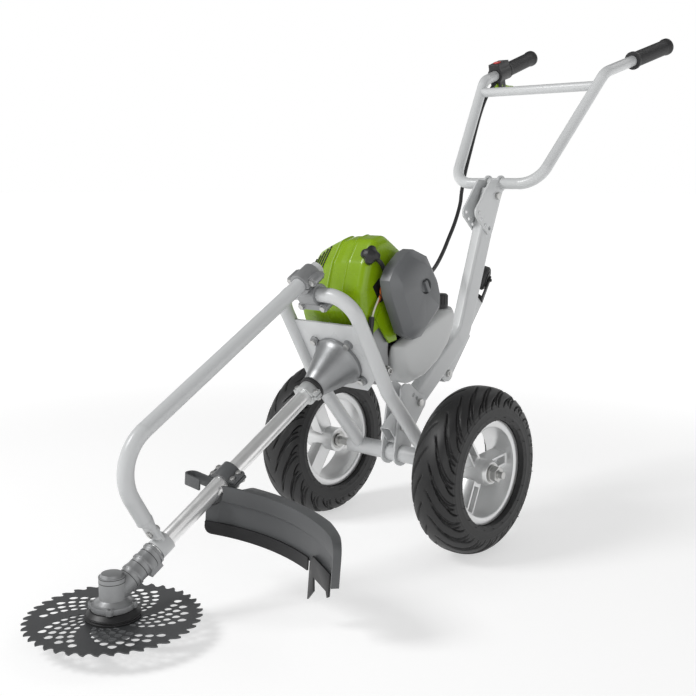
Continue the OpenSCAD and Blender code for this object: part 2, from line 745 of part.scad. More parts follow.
module hoop_tube() {
    path = [shaft_point(0, hoop_end, hoop_rise), shaft_point(0, hoop_foot, hoop_rise),
            shaft_point(0, hoop_foot, 53)];
    color("whitesmoke") {
        swept_tube(path, hoop_bend, frame_d, frame_wall);
        difference() {
            on_shaft(hoop_foot) union() {
                hull() {
                    translate([0, 0, 52]) cylinder(h = 3, d = frame_d + 1, $fn = 32);
                    translate([-16, -3.5, 41]) cube([32, 7, 2]);
                }
                translate([-14, -3, 19]) cube([28, 6, 23]);
            }
            on_shaft(hoop_foot - 10) translate([0, 0, 28]) y_bar(6 + 2 * seat, 20);
        }
        on_shaft(hoop_end - 14) translate([0, 0, hoop_rise]) y_bar(frame_d - 2 * frame_wall, 15);
    }
}
module cross_clamp() {
    color([0.6, 0.61, 0.61]) on_engine() difference() {
        union() {
            translate([0, -18, hoop_rise]) y_bar(2 * clamp_reach, 36);
            translate([0, 0, yoke_top]) x_bar(2 * clamp_reach, 36);
            for (b = clamp_bolts) {
                translate([b[0], -11, b[1]]) y_bar(15, 22);
                translate([b[0] / 2, 0, b[1]]) cube([abs(b[0]), 20, 13], center = true);
            }
        }
        translate([0, -40, hoop_rise]) y_bar(frame_d + 2 * seat, 80);
        translate([0, 0, yoke_top]) x_bar(frame_d + 2 * seat, 80);
        translate([0, -20, hoop_rise - 8.8]) cube([60, 40, 1.6]);
        for (b = clamp_bolts) translate([b[0], -20, b[1]]) y_bar(6 + 2 * seat, 40);
    }
}
module hoop_saddle() {
    color("whitesmoke") on_shaft(hoop_foot + 3 + seat) difference() {
        union() {
            translate([0, -12, 0]) y_bar(shaft_d + 7, 24);
            translate([-12, 0, 10]) cube([24, 5, 18]);
            translate([0, 0, 28]) y_bar(24, 5);
        }
        translate([0, -20, 0]) y_bar(shaft_d + 2 * seat, 40);
        translate([0, -20, 28]) y_bar(6 + 2 * seat, 40);
        translate([-20, -12 - cut, shaft_d / 2 + 4]) cube([40, 12 + cut, 40]);
    }
}

// Debris guard

// Guard frame: the guard leans over about its short end
module on_guard() {
    translate([guard_left, 0, guard_low]) rotate([0, guard_roll, 0]) translate([-guard_left, 0, -guard_low])
        children();
}
// Part of a turned wall round the guard's own centre
module guard_sector(from, to) {
    translate(guard_mid) rotate([0, 0, from]) rotate_extrude(angle = to - from) children();
}
module debris_guard() {
    r = guard_r;
    jog = 5;
    lip_low = guard_top - guard_lip;
    back = r + guard_flange;
    color([0.4, 0.41, 0.42]) difference() {
        on_guard() difference() {
            union() {
                guard_sector(guard_from, guard_to) polygon([[r, guard_low], [r + guard_wall, guard_low],
                    [r + guard_wall, lip_low - 1], [r - jog + guard_wall, lip_low + 3],
                    [r - jog + guard_wall, guard_top - guard_wall],
                    [back - guard_wall, guard_top - guard_wall], [back - guard_wall, guard_top - 13],
                    [back, guard_top - 13], [back, guard_top], [r - jog, guard_top], [r - jog, lip_low],
                    [r, lip_low - 4]]);
                guard_sector(guard_from, guard_from + 2.4) translate([r - jog, guard_low - 8])
                    square([jog + guard_wall, guard_top - guard_low + 7]);
            }
            translate(guard_mid) rotate([0, 0, guard_from]) translate([r - 20, 0, guard_top - guard_corner])
                difference() {
                    translate([0, -cut, 0]) cube([60, guard_corner + cut, guard_corner + cut]);
                    translate([-cut, guard_corner, 0]) rotate([0, 90, 0]) cylinder(h = 80, r = guard_corner);
                }
            guard_sector(guard_clear, guard_to + 1) translate([r + guard_wall + seat, lip_low])
                square([guard_flange + 10, 2 * guard_lip]);
        }
        on_shaft(bracket_at - 80) y_bar(clamp_d + 2 * slack, 160);
    }
}
module guard_skirt() {
    color([0.09, 0.09, 0.09]) on_guard() difference() {
        guard_sector(guard_from + 20, guard_to) translate([guard_r - guard_wall - seat, guard_low - 15])
            square([guard_wall, 20]);
        translate(guard_mid) rotate([0, 0, guard_to]) translate([guard_r - 20, 0, guard_low - 15])
            difference() {
                translate([0, -12, -cut]) cube([40, 12 + cut, 12 + cut]);
                translate([-cut, -12, 12]) rotate([0, 90, 0]) cylinder(h = 60, r = 12);
            }
    }
}
module line_knife() {
    half = 40;
    color([0.1, 0.1, 0.1]) on_guard() translate(guard_mid) rotate([0, 0, guard_from + 10])
        translate([sqrt(pow(guard_r - seat, 2) - half * half) - 3, 0, guard_low]) rotate([90, 0, 90])
        linear_extrude(3) polygon([[half, 0], [half, -58], [20, -36], [24, -16], [-22, -16], [-27, -24],
            [8 - half, -20], [8 - half, 14], [half - 8, 14]]);
}
module guard_bracket() {
    color([0.3, 0.31, 0.32]) difference() {
        union() {
            on_shaft(bracket_at - 14) y_bar(clamp_d, 28);
            for (i = [-1, 1]) on_shaft(bracket_at) translate([i * (shaft_d / 2 + 8), 0, 0])
                cube([16, 26, 12], center = true);
            translate([-16, bracket_y - 36, guard_top - 45]) cube([32, 50, 26]);
            on_guard() translate([0, 0, guard_top - 19]) linear_extrude(18) guard_strap();
        }
        on_shaft(bracket_at - 60) y_bar(shaft_d + 2 * seat, 120);
        on_shaft(bracket_at - 15) translate([0, 0, -0.8]) cube([50, 30, 1.6]);
        for (i = [-1, 1], j = [-7, 7]) on_shaft(bracket_at + j) translate([i * (shaft_d / 2 + 10), 0, -20])
            cylinder(h = 40, d = 5 + 2 * seat);
        on_guard() translate(guard_mid) translate([0, 0, guard_low - 40])
            cylinder(h = 120, r = guard_r + guard_wall + seat);
    }
}
// Hairpin strap beside the shaft, drawn from above
module guard_strap() {
    bend = 10;
    wall = 3.2;
    at = [-62, bracket_y - 24];
    translate(at) difference() {
        circle(bend + wall / 2);
        circle(bend - wall / 2);
        translate([0, -50]) square(100);
    }
    translate(at + [-0.2, bend - wall / 2]) square([46, wall]);
    translate(at + [-0.2, -bend - wall / 2]) square([30, wall]);
}
// Hexagon bolt along Z: head above the origin, shank below, nut at the far end
module bolt(d, grip, nut = true) {
    hex(d * 1.65, d * 0.65);
    translate([0, 0, -grip - d]) cylinder(h = grip + d + 0.1, d = d);
    if (nut) translate([0, 0, -grip - d * 0.8]) hex(d * 1.65, d * 0.8);
}
module chassis_bolts() {
    color("silver") {
        for (i = [-1, 1], j = [-1, 1]) on_engine()
            translate([i * plate_bolt, -plate_h / 2 - 6, j * plate_bolt]) rotate([90, 0, 0])
                bolt(6, 6 + plate_h + 6, false);
        for (b = clamp_bolts) on_engine() translate([b[0], -11, b[1]]) rotate([90, 0, 0]) bolt(6, 22);
        on_shaft(hoop_foot - 3) translate([0, 0, 28]) rotate([90, 0, 0]) bolt(6, 11.1);
        for (i = [-1, 1]) on_shaft(nose_t - ring_l - collar_l / 2)
            translate([i * (shaft_d / 2 + 8.5), 0, 6.5]) bolt(4, 13);
        for (i = [-1, 1], j = [-7, 7]) on_shaft(bracket_at + j)
            translate([i * (shaft_d / 2 + 10), 0, 6]) bolt(5, 12);
        for (s = [-1, 1]) translate(mast_pivot_at) rotate([mast_low_tilt, 0, 0])
            translate([s * (plate_in + bracket_t), lock_r, 0]) rotate([0, s * 90, 0])
                bolt(pivot_d, bracket_t - pivot_d, false);
    }
}

// Engine

module crankcase() {
    color([0.55, 0.56, 0.56]) on_engine() difference() {
        union() {
            translate([0, plate_h / 2, 0]) y_bar(crank_d, crank_l);
            translate([-48, plate_h / 2, -48]) cube([96, 9, 96]);
            translate([-30, barrel_at - 26, 20]) cube([60, 50, crank_d / 2 - 20]);
            translate([-46, 14, -60]) cube([92, 30, 24]);
            translate([40, 33, -48]) x_bar(22, 24);
            for (s = [14, 58]) translate([0, s, 0]) y_bar(crank_d + 5, 6);
            translate([-15, 31.2, crank_d / 2 + 1]) y_bar(14, 20);
        }
        y_bar(drum_d + 6, 30);
        for (i = [-1, 1], j = [-1, 1]) translate([i * plate_bolt, 0, j * plate_bolt]) y_bar(6 + 2 * seat, 20);
    }
}
module engine_cylinder() {
    color([0.66, 0.67, 0.67]) on_engine() translate([0, barrel_at, barrel_low]) {
        cylinder(h = barrel_h, d = barrel_d);
        for (k = [0 : 8]) translate([-fin_w, -24.5, 18 + 7.5 * k]) cube([2 * fin_w, 49, 2.2]);
        translate([0, 0, barrel_h]) cylinder(h = 6, d1 = barrel_d - 4, d2 = barrel_d - 20);
    }
}
// Shroud body as a hull of balls: grow moves every face outwards by that much
module shroud_body(grow) {
    hull() for (p = shroud_outline, x = [shroud_right, shroud_left])
        translate([x, p[0], p[1]]) sphere(shroud_edge + grow, $fn = 24);
}
module engine_shroud() {
    outside = shroud_left + shroud_edge;
    color([0.5, 0.68, 0.08]) on_engine() {
        difference() {
            shroud_body(0);
            shroud_body(-shroud_wall);
            translate([-200, 0, shroud_low - 100]) cube([400, 300, 100]);
            translate([-200, starter_at - 2, 0]) cube([400, 300, shroud_back_low]);
            for (k = [0 : 5]) translate([shroud_right + 4 + 8 * k, 84 + 4 * k, 158]) rotate([-42, 0, 0])
                cube([3.5, 56, 60], center = true);
            aimed(plug_at, plug_dir) cylinder(h = 40, r = 11, center = true);
            translate([0, 0, hoop_rise]) y_bar(frame_d + 4, hoop_end - plate_t + 3);
            y_bar(crank_d + 2 * seat, starter_at - 5);
            translate([fin_w - 3, 78, 60]) cube([60, carb_at - 78 + 24, 50]);
        }
        translate([outside - shroud_wall, 0, 0]) rotate([90, 0, 90]) linear_extrude(shroud_wall)
            polygon([[62, shroud_low + 12], [82, shroud_low + 12], [80, -4], [62, 4]]);
    }
}
module starter_housing() {
    color([0.1, 0.1, 0.1]) on_engine() translate([0, starter_at, 0]) rotate([-90, 0, 0]) difference() {
        rotate_extrude() polygon([[0, 0], [starter_r, 0], [starter_r, 40], [starter_r - 8, 52],
            [starter_r - 22, starter_l - 2], [0, starter_l]]);
        for (a = [0 : 30 : 330]) rotate([0, 0, a]) translate([26, -2.5, starter_l - 10]) cube([18, 5, 20]);
    }
}
module muffler() {
    color([0.3, 0.3, 0.3]) on_engine() {
        translate([-80, barrel_at - 22, 54]) cube([80 - fin_w - seat, 44, 46]);
        translate([-62, barrel_at, 46]) cylinder(h = 58, d = 24);
    }
}
module carburettor() {
    color([0.7, 0.7, 0.68]) on_engine() {
        translate([filter_in - 14, carb_at - 11, 64]) cube([14 - seat, 30, 40]);
        translate([fin_w + seat, carb_at, 84]) rotate([0, 90, 0]) cylinder(h = filter_in - fin_w - 4, d = 24);
        translate([filter_in - 12, carb_at + 4, 62]) cylinder(h = 46, d = 9);
    }
}
function shrink(p, mid, f) = [for (q = p) mid + (q - mid) * f];
module filter_slice(p, x, t) {
    translate([x, 0, 0]) rotate([90, 0, 90]) linear_extrude(t) polygon(p);
}
module filter_cover() {
    color([0.36, 0.37, 0.38]) on_engine() difference() {
        hull() {
            filter_slice(filter_outline, filter_in, filter_step);
            filter_slice(shrink(filter_outline, filter_mid, 0.74), filter_x - 1, 1);
        }
        translate([filter_x - 4, filter_knob_at.x, filter_knob_at.y]) x_bar(26, 8);
        translate([filter_x - 20, filter_knob_at.x, filter_knob_at.y]) x_bar(8 + 2 * run, 60);
    }
}
module filter_knob() {
    color([0.3, 0.31, 0.32]) on_engine()
        translate([filter_x - 8 + slack, filter_knob_at.x, filter_knob_at.y]) rotate([0, 90, 0]) {
            difference() {
                cylinder(h = 11, d = 22);
                translate([-20, 3.4, 5]) cube([40, 20, 10]);
                translate([-20, -23.4, 5]) cube([40, 20, 10]);
            }
            translate([0, 0, -20]) cylinder(h = 24, d = 8);
        }
}
module spark_plug() {
    neck = plug_root + [0, 0, 5];
    inner = plug_at - 12 * plug_dir;
    color([0.07, 0.07, 0.07]) on_engine() {
        translate(plug_root) cylinder(h = 9, d = 14);
        aimed(neck, unit(inner - neck)) cylinder(h = norm(inner - neck), d = 9);
        aimed(plug_at, plug_dir) {
            translate([0, 0, -15]) cylinder(h = 18, d = 19);
            translate([0, 0, 1]) cylinder(h = 14, d = 24);
            for (a = [45 : 90 : 315]) rotate([0, 0, a]) translate([9, 0, 1]) cylinder(h = 12, d = 15);
            translate([0, 0, 15]) cylinder(h = 4, d1 = 22, d2 = 12);
        }
    }
}
// Spark lead from the boot to the filter cover, and the loom that runs down beside the crankcase
module engine_wiring() {
    boot = plug_at + 19 * plug_dir;
    color([0.08, 0.08, 0.08]) on_engine() {
        swept_rod([boot + seat * plug_dir, boot + 8 * plug_dir, [96, 96, 160], [97, 106, 140],
            [93, 110, 129.2]], 8, 6);
        swept_rod([[69, carb_at - 12 - seat, 80], [69, 84, 80], [67, 50, 60], [66, 32, 10],
            [43.7, 32, 6.62]], 14, 8);
    }
}
module tank_block(w, p) {
    translate([-w, 0, 0]) rotate([90, 0, 90]) linear_extrude(2 * w) polygon(p);
}
module fuel_tank() {
    color([0.74, 0.74, 0.73]) on_engine() difference() {
        hull() {
            tank_block(tank_w - tank_edge, tank_outline);
            tank_block(tank_w, shrink(tank_outline, [150, -74], 0.84));
        }
        translate([0, -cut, 0]) y_bar(2 * starter_r + 2 * seat, starter_at + starter_l + 4);
        translate(cap_at) rotate([-shaft_tilt, 0, 0]) translate([0, 0, -4]) cylinder(h = 60, d = cap_d + 10);
    }
}
module fuel_cap() {
    color([0.08, 0.08, 0.08]) on_engine() translate(cap_at) rotate([-shaft_tilt, 0, 0])
        translate([0, 0, -4 + slack]) difference() {
            union() {
                cylinder(h = 22, d = cap_d);
                translate([0, 0, 22]) cylinder(h = 3, d1 = cap_d, d2 = cap_d - 6);
            }
            for (a = [0 : 20 : 340]) rotate([0, 0, a]) translate([cap_d / 2 + 0.6, 0, 6])
                cylinder(h = 30, d = 3);
        }
}

// Mast

mast_path = [mast_pivot_at - mast_tail * [0, cos(mast_low_tilt), sin(mast_low_tilt)], mast_knee,
             handle_pivot + mast_head * [0, cos(mast_up_tilt), sin(mast_up_tilt)]];
// Solid bar in the shape of the mast, with every face moved outwards by grow
module mast_rod(p, grow) {
    swept(p, mast_bend) {
        round_rect(mast_d + 2 * grow, mast_w + 2 * grow, mast_edge + grow);
        round_rect(mast_d + 2 * (grow + lap), mast_w + 2 * (grow + lap), mast_edge + grow + lap);
    }
}
module mast_tube() {
    color("whitesmoke") difference() {
        mast_rod(mast_path, 0);
        mast_rod(drawn_out(mast_path), -mast_wall);
        for (p = [mast_pivot_at, handle_pivot]) translate(p) x_bar(pivot_d + 2 * seat, 2 * mast_w);
    }
}
module stand_bracket() {
    color("whitesmoke") difference() {
        side_plate(-mast_w / 2, leg_pivot) difference() {
            union() {
                circle(16);
                polygon([[-16, 0], [16, -2], [74, 66], [60, 84], [40, 60], [-20, 22]]);
            }
            circle(d = pivot_d + 2 * seat);
            rotate(leg_tilt) translate([leg_lock, 0]) circle(d = 6 + 2 * seat);
        }
        mast_rod(mast_path, seat);
    }
}
module through_bolt(at, d, half) {
    translate(at) {
        x_bar(d, 2 * half);
        for (s = [-1, 1]) translate([s * half, 0, 0]) rotate([0, s * 90, 0]) translate([0, 0, -0.1])
            hex(d * 1.65, d * 0.7);
    }
}
module mast_bolts() {
    outside = plate_in + bracket_t + slack;
    color("silver") {
        through_bolt(mast_pivot_at, pivot_d, outside);
        through_bolt(handle_pivot, pivot_d, outside);
        translate([leg_x - leg_w / 2 - slack, leg_pivot.y, leg_pivot.z]) rotate([0, 90, 0]) {
            cylinder(h = -leg_x + leg_w / 2 - mast_w / 2 + bracket_t + 8, d = pivot_d);
            translate([0, 0, -pivot_d * 0.6]) hex(pivot_d * 1.65, pivot_d * 0.6 + 0.1);
        }
        translate([-mast_w / 2 + bracket_t, leg_pivot.y, leg_pivot.z]) rotate([0, 90, 0])
            hex(pivot_d * 1.65, 6);
        translate(leg_pivot) rotate([leg_tilt, 0, 0]) translate([-mast_w / 2 + bracket_t, leg_lock, 0])
            rotate([0, 90, 0]) bolt(6, bracket_t - 6, false);
    }
}

// Handle

module handle_tube() {
    right = [bar_at + [bar_half, 0, 0], arm_top, arm_end];
    path = concat([for (i = [2 : -1 : 0]) mirror_x(right[i])], right);
    color("whitesmoke") swept_tube(path, handle_bend, handle_d, handle_wall);
}
module crossbar() {
    color("whitesmoke") difference() {
        translate(cross_at - [cross_at.x, 0, 0]) x_bar(handle_d - 3, 2 * cross_at.x);
        for (s = [-1, 1]) {
            from = bar_at + [s * bar_half, 0, 0];
            aimed(from, unit([s * arm_top.x, arm_top.y, arm_top.z] - from))
                cylinder(h = 400, d = handle_d + 2 * seat);
        }
    }
}
// Side plate outline of the handle bracket, drawn about the handle pivot
module handle_plate_outline() {
    bar = [bar_at.y - handle_pivot.y, bar_at.z - handle_pivot.z];
    lock = handle_lock_r * [cos(handle_lock_dir), sin(handle_lock_dir)];
    last = handle_lock_r * [cos(handle_lock_dir - 3 * handle_step), sin(handle_lock_dir - 3 * handle_step)];
    difference() {
        union() {
            translate(bar) circle(handle_d / 2 + 5);
            circle(14);
            polygon([bar + [-handle_d / 2 - 26, 8], bar + [handle_d / 2 + 4, 6], [14, -4], lock + [12, -4],
                lock + [-4, -12], last + [-9, -8], last + [-10, 6]]);
            translate(lock) circle(12);
            translate(last) circle(11);
        }
        translate(bar) circle(d = handle_d + 2 * seat);
        circle(d = pivot_d + 2 * run);
        arc_holes(handle_lock_r, handle_lock_dir - 3 * handle_step, handle_step, 4, pivot_d + 2 * run);
    }
}
module handle_plates() {
    color("whitesmoke") for (x = [plate_in, -plate_in - bracket_t])
        side_plate(x, handle_pivot) handle_plate_outline();
}
module grip() {
    ribs = 9;
    difference() {
        union() {
            cylinder(h = grip_l, d = grip_d - 3);
            cylinder(h = 4, d = grip_d + 5);
            for (k = [0 : ribs - 1]) translate([0, 0, 12 + k * (grip_l - 24) / ribs])
                cylinder(h = (grip_l - 24) / ribs - 4, d = grip_d);
            translate([0, 0, grip_l]) cylinder(h = 3, d1 = grip_d - 2, d2 = grip_d - 8);
        }
        translate([0, 0, -cut]) cylinder(h = grip_l - 3 + cut + seat, d = handle_d + 2 * seat);
    }
}
module left_grip() { color([0.09, 0.09, 0.09]) aimed(grip_from, grip_dir) grip(); }
module right_grip() { color([0.09, 0.09, 0.09]) aimed(mirror_x(grip_from), mirror_x(grip_dir)) grip(); }
// Switch housing frame: Z runs back along the operator's right arm, the grip starts at the origin
module on_housing() {
    dir = mirror_x(grip_dir);
    side = unit(cross([0, 0, 1], dir));
    multmatrix(columns(side, cross(dir, side), dir, mirror_x(grip_from))) children();
}
module switch_housing() {
    color([0.09, 0.09, 0.09]) on_housing() difference() {
        union() {
            translate([0, 0, -housing_l - seat]) cylinder(h = housing_l, d = housing_d);
            translate([-13, 0, -housing_l - seat]) cube([26, 25, housing_l]);
            translate([-12, -30, -housing_l - seat]) cube([24, 20, 26]);
        }
        translate([0, 0, -2 * housing_l]) cylinder(h = 3 * housing_l, d = handle_d + 2 * seat);
        translate([-7, 20, -housing_l + 12]) cube([14, 10, 26]);
        translate([-6.3, -40, -housing_l - 10]) cube([12.6, 24, 50]);
        translate([0, -24, -housing_l + 10]) x_bar(trigger_pin + 2 * seat, 60);
    }
}
module stop_switch() {
    color([0.75, 0.08, 0.06]) on_housing() translate([0, 20 + slack, -housing_l + 12 + 6.5]) difference() {
        translate([-6.5, 0, -6]) cube([13, 7, 12]);
        for (k = [-2 : 2]) translate([-10, 7, k * 2.2 - 0.5]) cube([20, 2, 1]);
    }
}
module throttle_trigger() {
    color([0.5, 0.68, 0.08]) on_housing() translate([0, -24, -housing_l + 10]) {
        x_bar(trigger_pin, 23);
        rotate([0, 90, 0]) translate([0, 0, -6]) linear_extrude(12) union() {
            circle(7);
            polygon([[5, -5], [3, 6], [-12, 4], [-34, -7], [-60, -14], [-66, -20], [-60, -23], [-34, -15],
                [-10, -7]]);
        }
    }
}

// Stand leg and caster

module stand_leg() {
    color("whitesmoke") translate([leg_x, leg_pivot.y, leg_pivot.z]) rotate([leg_tilt, 0, 0]) difference() {
        union() {
            translate([0, -14, 0]) rotate([-90, 0, 0]) linear_extrude(leg_l + 14)
                box_section(leg_w, leg_w, 2, 3);
            translate([0, leg_l - 5, 0]) cube([leg_w - 4, 10, leg_w - 4], center = true);
        }
        x_bar(pivot_d + 2 * run, 2 * leg_w);
        translate([0, leg_l - 20, 0]) y_bar(8 + 2 * run, 40);
    }
}
// Caster frame: Y runs on from the end of the stand leg
module on_caster() {
    translate(leg_end) rotate([leg_tilt, 0, 0]) rotate([0, caster_turn, 0]) children();
}
module caster_fork() {
    color([0.09, 0.09, 0.09]) on_caster() difference() {
        union() {
            translate([0, -9, 0]) y_bar(8, 14);
            translate([0, slack, 0]) y_bar(26, 9);
            for (s = [-1, 1]) translate([s * 13 - 2, 0, 0]) rotate([90, 0, 90]) linear_extrude(4)
                polygon([[slack + 1, -11], [slack + 1, 11], [caster_drop + 6, caster_trail + 7],
                    [caster_drop + 6, caster_trail - 7], [caster_drop - 6, caster_trail - 9]]);
            translate([0, caster_drop, caster_trail]) x_bar(6, 36);
        }
    }
}
module caster_wheel() {
    r = caster_d / 2;
    color([0.12, 0.12, 0.12]) on_caster() translate([0, caster_drop, caster_trail]) rotate([0, 90, 0])
    difference() {
        rotate_extrude() polygon([[0, -10], [r - 8, -10], [r - 8, -8], [r - 3, -8], [r, -5], [r, 5],
            [r - 3, 8], [r - 8, 8], [r - 8, 10], [0, 10]]);
        cylinder(h = 40, d = 6 + 2 * run, center = true);
    }
}

// Throttle cable

module cable(from, to) {
    color([0.08, 0.08, 0.08])
        cord(curve(cable_pts, cable_steps), from * cable_steps, to * cable_steps, cable_d);
}
module throttle_cable_top() { cable(0, cable_handle); }
module throttle_cable_mid() { cable(cable_handle, cable_mast); }
module throttle_cable_low() { cable(cable_mast, len(cable_pts) - 1); }

axle_tube();
axle_rod();
axle_nuts();
yoke_tube();
engine_plate();
mast_bracket();
clutch_housing();
mount_ring();
shaft_collar();
shaft_tube();
gear_case();
hoop_tube();
cross_clamp();
hoop_saddle();
debris_guard();
guard_skirt();
line_knife();
guard_bracket();
chassis_bolts();
crankcase();
engine_cylinder();
engine_shroud();
starter_housing();
muffler();
carburettor();
filter_cover();
spark_plug();
engine_wiring();
fuel_tank();
throttle_cable_low();
left_tyre();
left_rim();
left_bearings();
right_tyre();
right_rim();
right_bearings();
saw_blade();
blade_holder();
spindle();
ground_cup();
drive_shaft();
clutch_drum();
mast_tube();
stand_bracket();
mast_bolts();
throttle_cable_mid();
handle_tube();
crossbar();
handle_plates();
left_grip();
right_grip();
switch_housing();
throttle_cable_top();
throttle_trigger();
stop_switch();
stand_leg();
caster_fork();
caster_wheel();
fuel_cap();
filter_knob();
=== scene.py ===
import json
import math
from contextlib import contextmanager

import bmesh
import bpy
from mathutils import Matrix, Vector


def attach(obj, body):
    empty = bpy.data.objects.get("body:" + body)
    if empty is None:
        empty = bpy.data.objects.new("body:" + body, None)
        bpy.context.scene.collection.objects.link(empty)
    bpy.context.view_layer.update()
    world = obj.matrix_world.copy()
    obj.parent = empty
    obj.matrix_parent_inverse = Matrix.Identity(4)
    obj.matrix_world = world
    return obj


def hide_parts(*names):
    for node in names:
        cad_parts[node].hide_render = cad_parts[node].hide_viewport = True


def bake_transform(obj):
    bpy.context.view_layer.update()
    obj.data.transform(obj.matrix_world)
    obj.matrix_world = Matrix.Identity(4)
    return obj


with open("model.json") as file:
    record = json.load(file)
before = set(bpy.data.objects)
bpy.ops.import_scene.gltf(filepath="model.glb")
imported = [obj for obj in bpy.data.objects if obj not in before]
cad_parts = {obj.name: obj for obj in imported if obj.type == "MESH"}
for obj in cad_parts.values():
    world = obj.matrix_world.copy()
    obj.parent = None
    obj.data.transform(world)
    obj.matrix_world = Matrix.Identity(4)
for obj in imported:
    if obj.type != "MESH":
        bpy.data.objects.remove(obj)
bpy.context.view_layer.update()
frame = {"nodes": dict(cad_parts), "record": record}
nodes = frame["nodes"]
bodyOf = {n: b for b, members in frame["record"]["behaviour"]["bodies"].items() for n in members}
scene = bpy.context.scene
fullTurn = 2 * math.pi
sides = (("left", 1), ("right", -1))


# Helpers for meshes

def linkNew(name, data):
    obj = bpy.data.objects.new(name, data)
    scene.collection.objects.link(obj)
    return obj


def smoothAll(mesh):
    mesh.polygons.foreach_set("use_smooth", [True] * len(mesh.polygons))


def meshObject(name, verts, faces, smooth=True):
    mesh = bpy.data.meshes.new(name)
    mesh.from_pydata([tuple(v) for v in verts], [], faces)
    mesh.update()
    if smooth:
        smoothAll(mesh)
    return linkNew(name, mesh)


def smoothByAngle(obj, degrees=40):
    smoothAll(obj.data)
    obj.data.set_sharp_from_angle(angle=math.radians(degrees))


@contextmanager
def editing(mesh):
    work = bmesh.new()
    work.from_mesh(mesh)
    yield work
    work.to_mesh(mesh)
    work.free()


def finalMesh(obj):
    graph = bpy.context.evaluated_depsgraph_get()
    mesh = bpy.data.meshes.new_from_object(obj.evaluated_get(graph))
    bpy.data.objects.remove(obj)
    return mesh


def polar(radius, angle):
    return radius * math.cos(angle), radius * math.sin(angle)


def clamped(value):
    return min(1.0, max(0.0, value))


def metres(rows):
    return [tuple(c / 1000 for c in row) for row in rows]


# Engine frame: x across, s along the shaft from the engine plate, h square to the shaft

shaft = {"tilt": 30.0, "rise": 0.062, "plate": 0.560}
shaftAxis = Vector((0, *polar(1, math.radians(shaft["tilt"]))))


def enginePoint(x, s, h):
    t = shaft["plate"] + s
    return Vector((x, t * shaftAxis.y - h * shaftAxis.z, shaft["rise"] + t * shaftAxis.z + h * shaftAxis.y))


def enginePoints(rows):
    return [enginePoint(*row) for row in metres(rows)]


# Node trees, for shaders and for layouts

def newTree(name, kind, inputs, outputs):
    tree = bpy.data.node_groups.new(name, kind)
    for label, socketKind, value in inputs:
        socket = tree.interface.new_socket(label, in_out="INPUT", socket_type=socketKind)
        if value is not None:
            socket.default_value = value
    for label, socketKind in outputs:
        tree.interface.new_socket(label, in_out="OUTPUT", socket_type=socketKind)
    return tree, tree.nodes.new("NodeGroupInput"), tree.nodes.new("NodeGroupOutput")


def addNode(tree, kind, values=None, **fields):
    node = tree.nodes.new(kind)
    for field, value in fields.items():
        setattr(node, field, value)
    setSockets(node, values or {})
    return node


def setSockets(node, values):
    for socket, value in values.items():
        node.inputs[socket].default_value = value


def wire(tree, *rows):
    for source, out, target, into in rows:
        tree.links.new(source.outputs[out], target.inputs[into])


# Materials: groups give masks, colours and normals, the shader stays in each material

def speckleGroup():
    tree, enter, leave = newTree("speckle", "ShaderNodeTree",
                                 [("Scale", "NodeSocketFloat", 60.0), ("Amount", "NodeSocketFloat", 0.1),
                                  ("Color", "NodeSocketColor", (1, 1, 1, 1))],
                                 [("Color", "NodeSocketColor"), ("Mask", "NodeSocketFloat")])
    coord = addNode(tree, "ShaderNodeTexCoord")
    noise = addNode(tree, "ShaderNodeTexNoise", {"Detail": 5.0})
    scaled = addNode(tree, "ShaderNodeMath", operation="MULTIPLY_ADD")
    shift = addNode(tree, "ShaderNodeMath", {1: -0.5, 2: 1.0}, operation="MULTIPLY_ADD")
    mix = addNode(tree, "ShaderNodeVectorMath", operation="SCALE")
    wire(tree, (coord, "Object", noise, "Vector"), (enter, "Scale", noise, "Scale"),
         (enter, "Amount", shift, 0), (noise, "Fac", scaled, 0), (enter, "Amount", scaled, 1),
         (shift, 0, scaled, 2), (enter, "Color", mix, 0), (scaled, 0, mix, "Scale"),
         (mix, "Vector", leave, "Color"), (noise, "Fac", leave, "Mask"))
    return tree


def grainGroup():
    tree, enter, leave = newTree("grain", "ShaderNodeTree",
                                 [("Scale", "NodeSocketFloat", 900.0), ("Depth", "NodeSocketFloat", 0.1),
                                  ("Stretch", "NodeSocketVector", (1, 1, 1))],
                                 [("Normal", "NodeSocketVector")])
    coord = addNode(tree, "ShaderNodeTexCoord")
    pull = addNode(tree, "ShaderNodeVectorMath", operation="MULTIPLY")
    noise = addNode(tree, "ShaderNodeTexNoise", {"Detail": 3.0})
    bump = addNode(tree, "ShaderNodeBump", {"Distance": 0.0006})
    wire(tree, (coord, "Object", pull, 0), (enter, "Stretch", pull, 1), (pull, "Vector", noise, "Vector"),
         (enter, "Scale", noise, "Scale"), (enter, "Depth", bump, "Strength"), (noise, "Fac", bump, "Height"),
         (bump, "Normal", leave, "Normal"))
    return tree


speckle = speckleGroup()
grain = grainGroup()

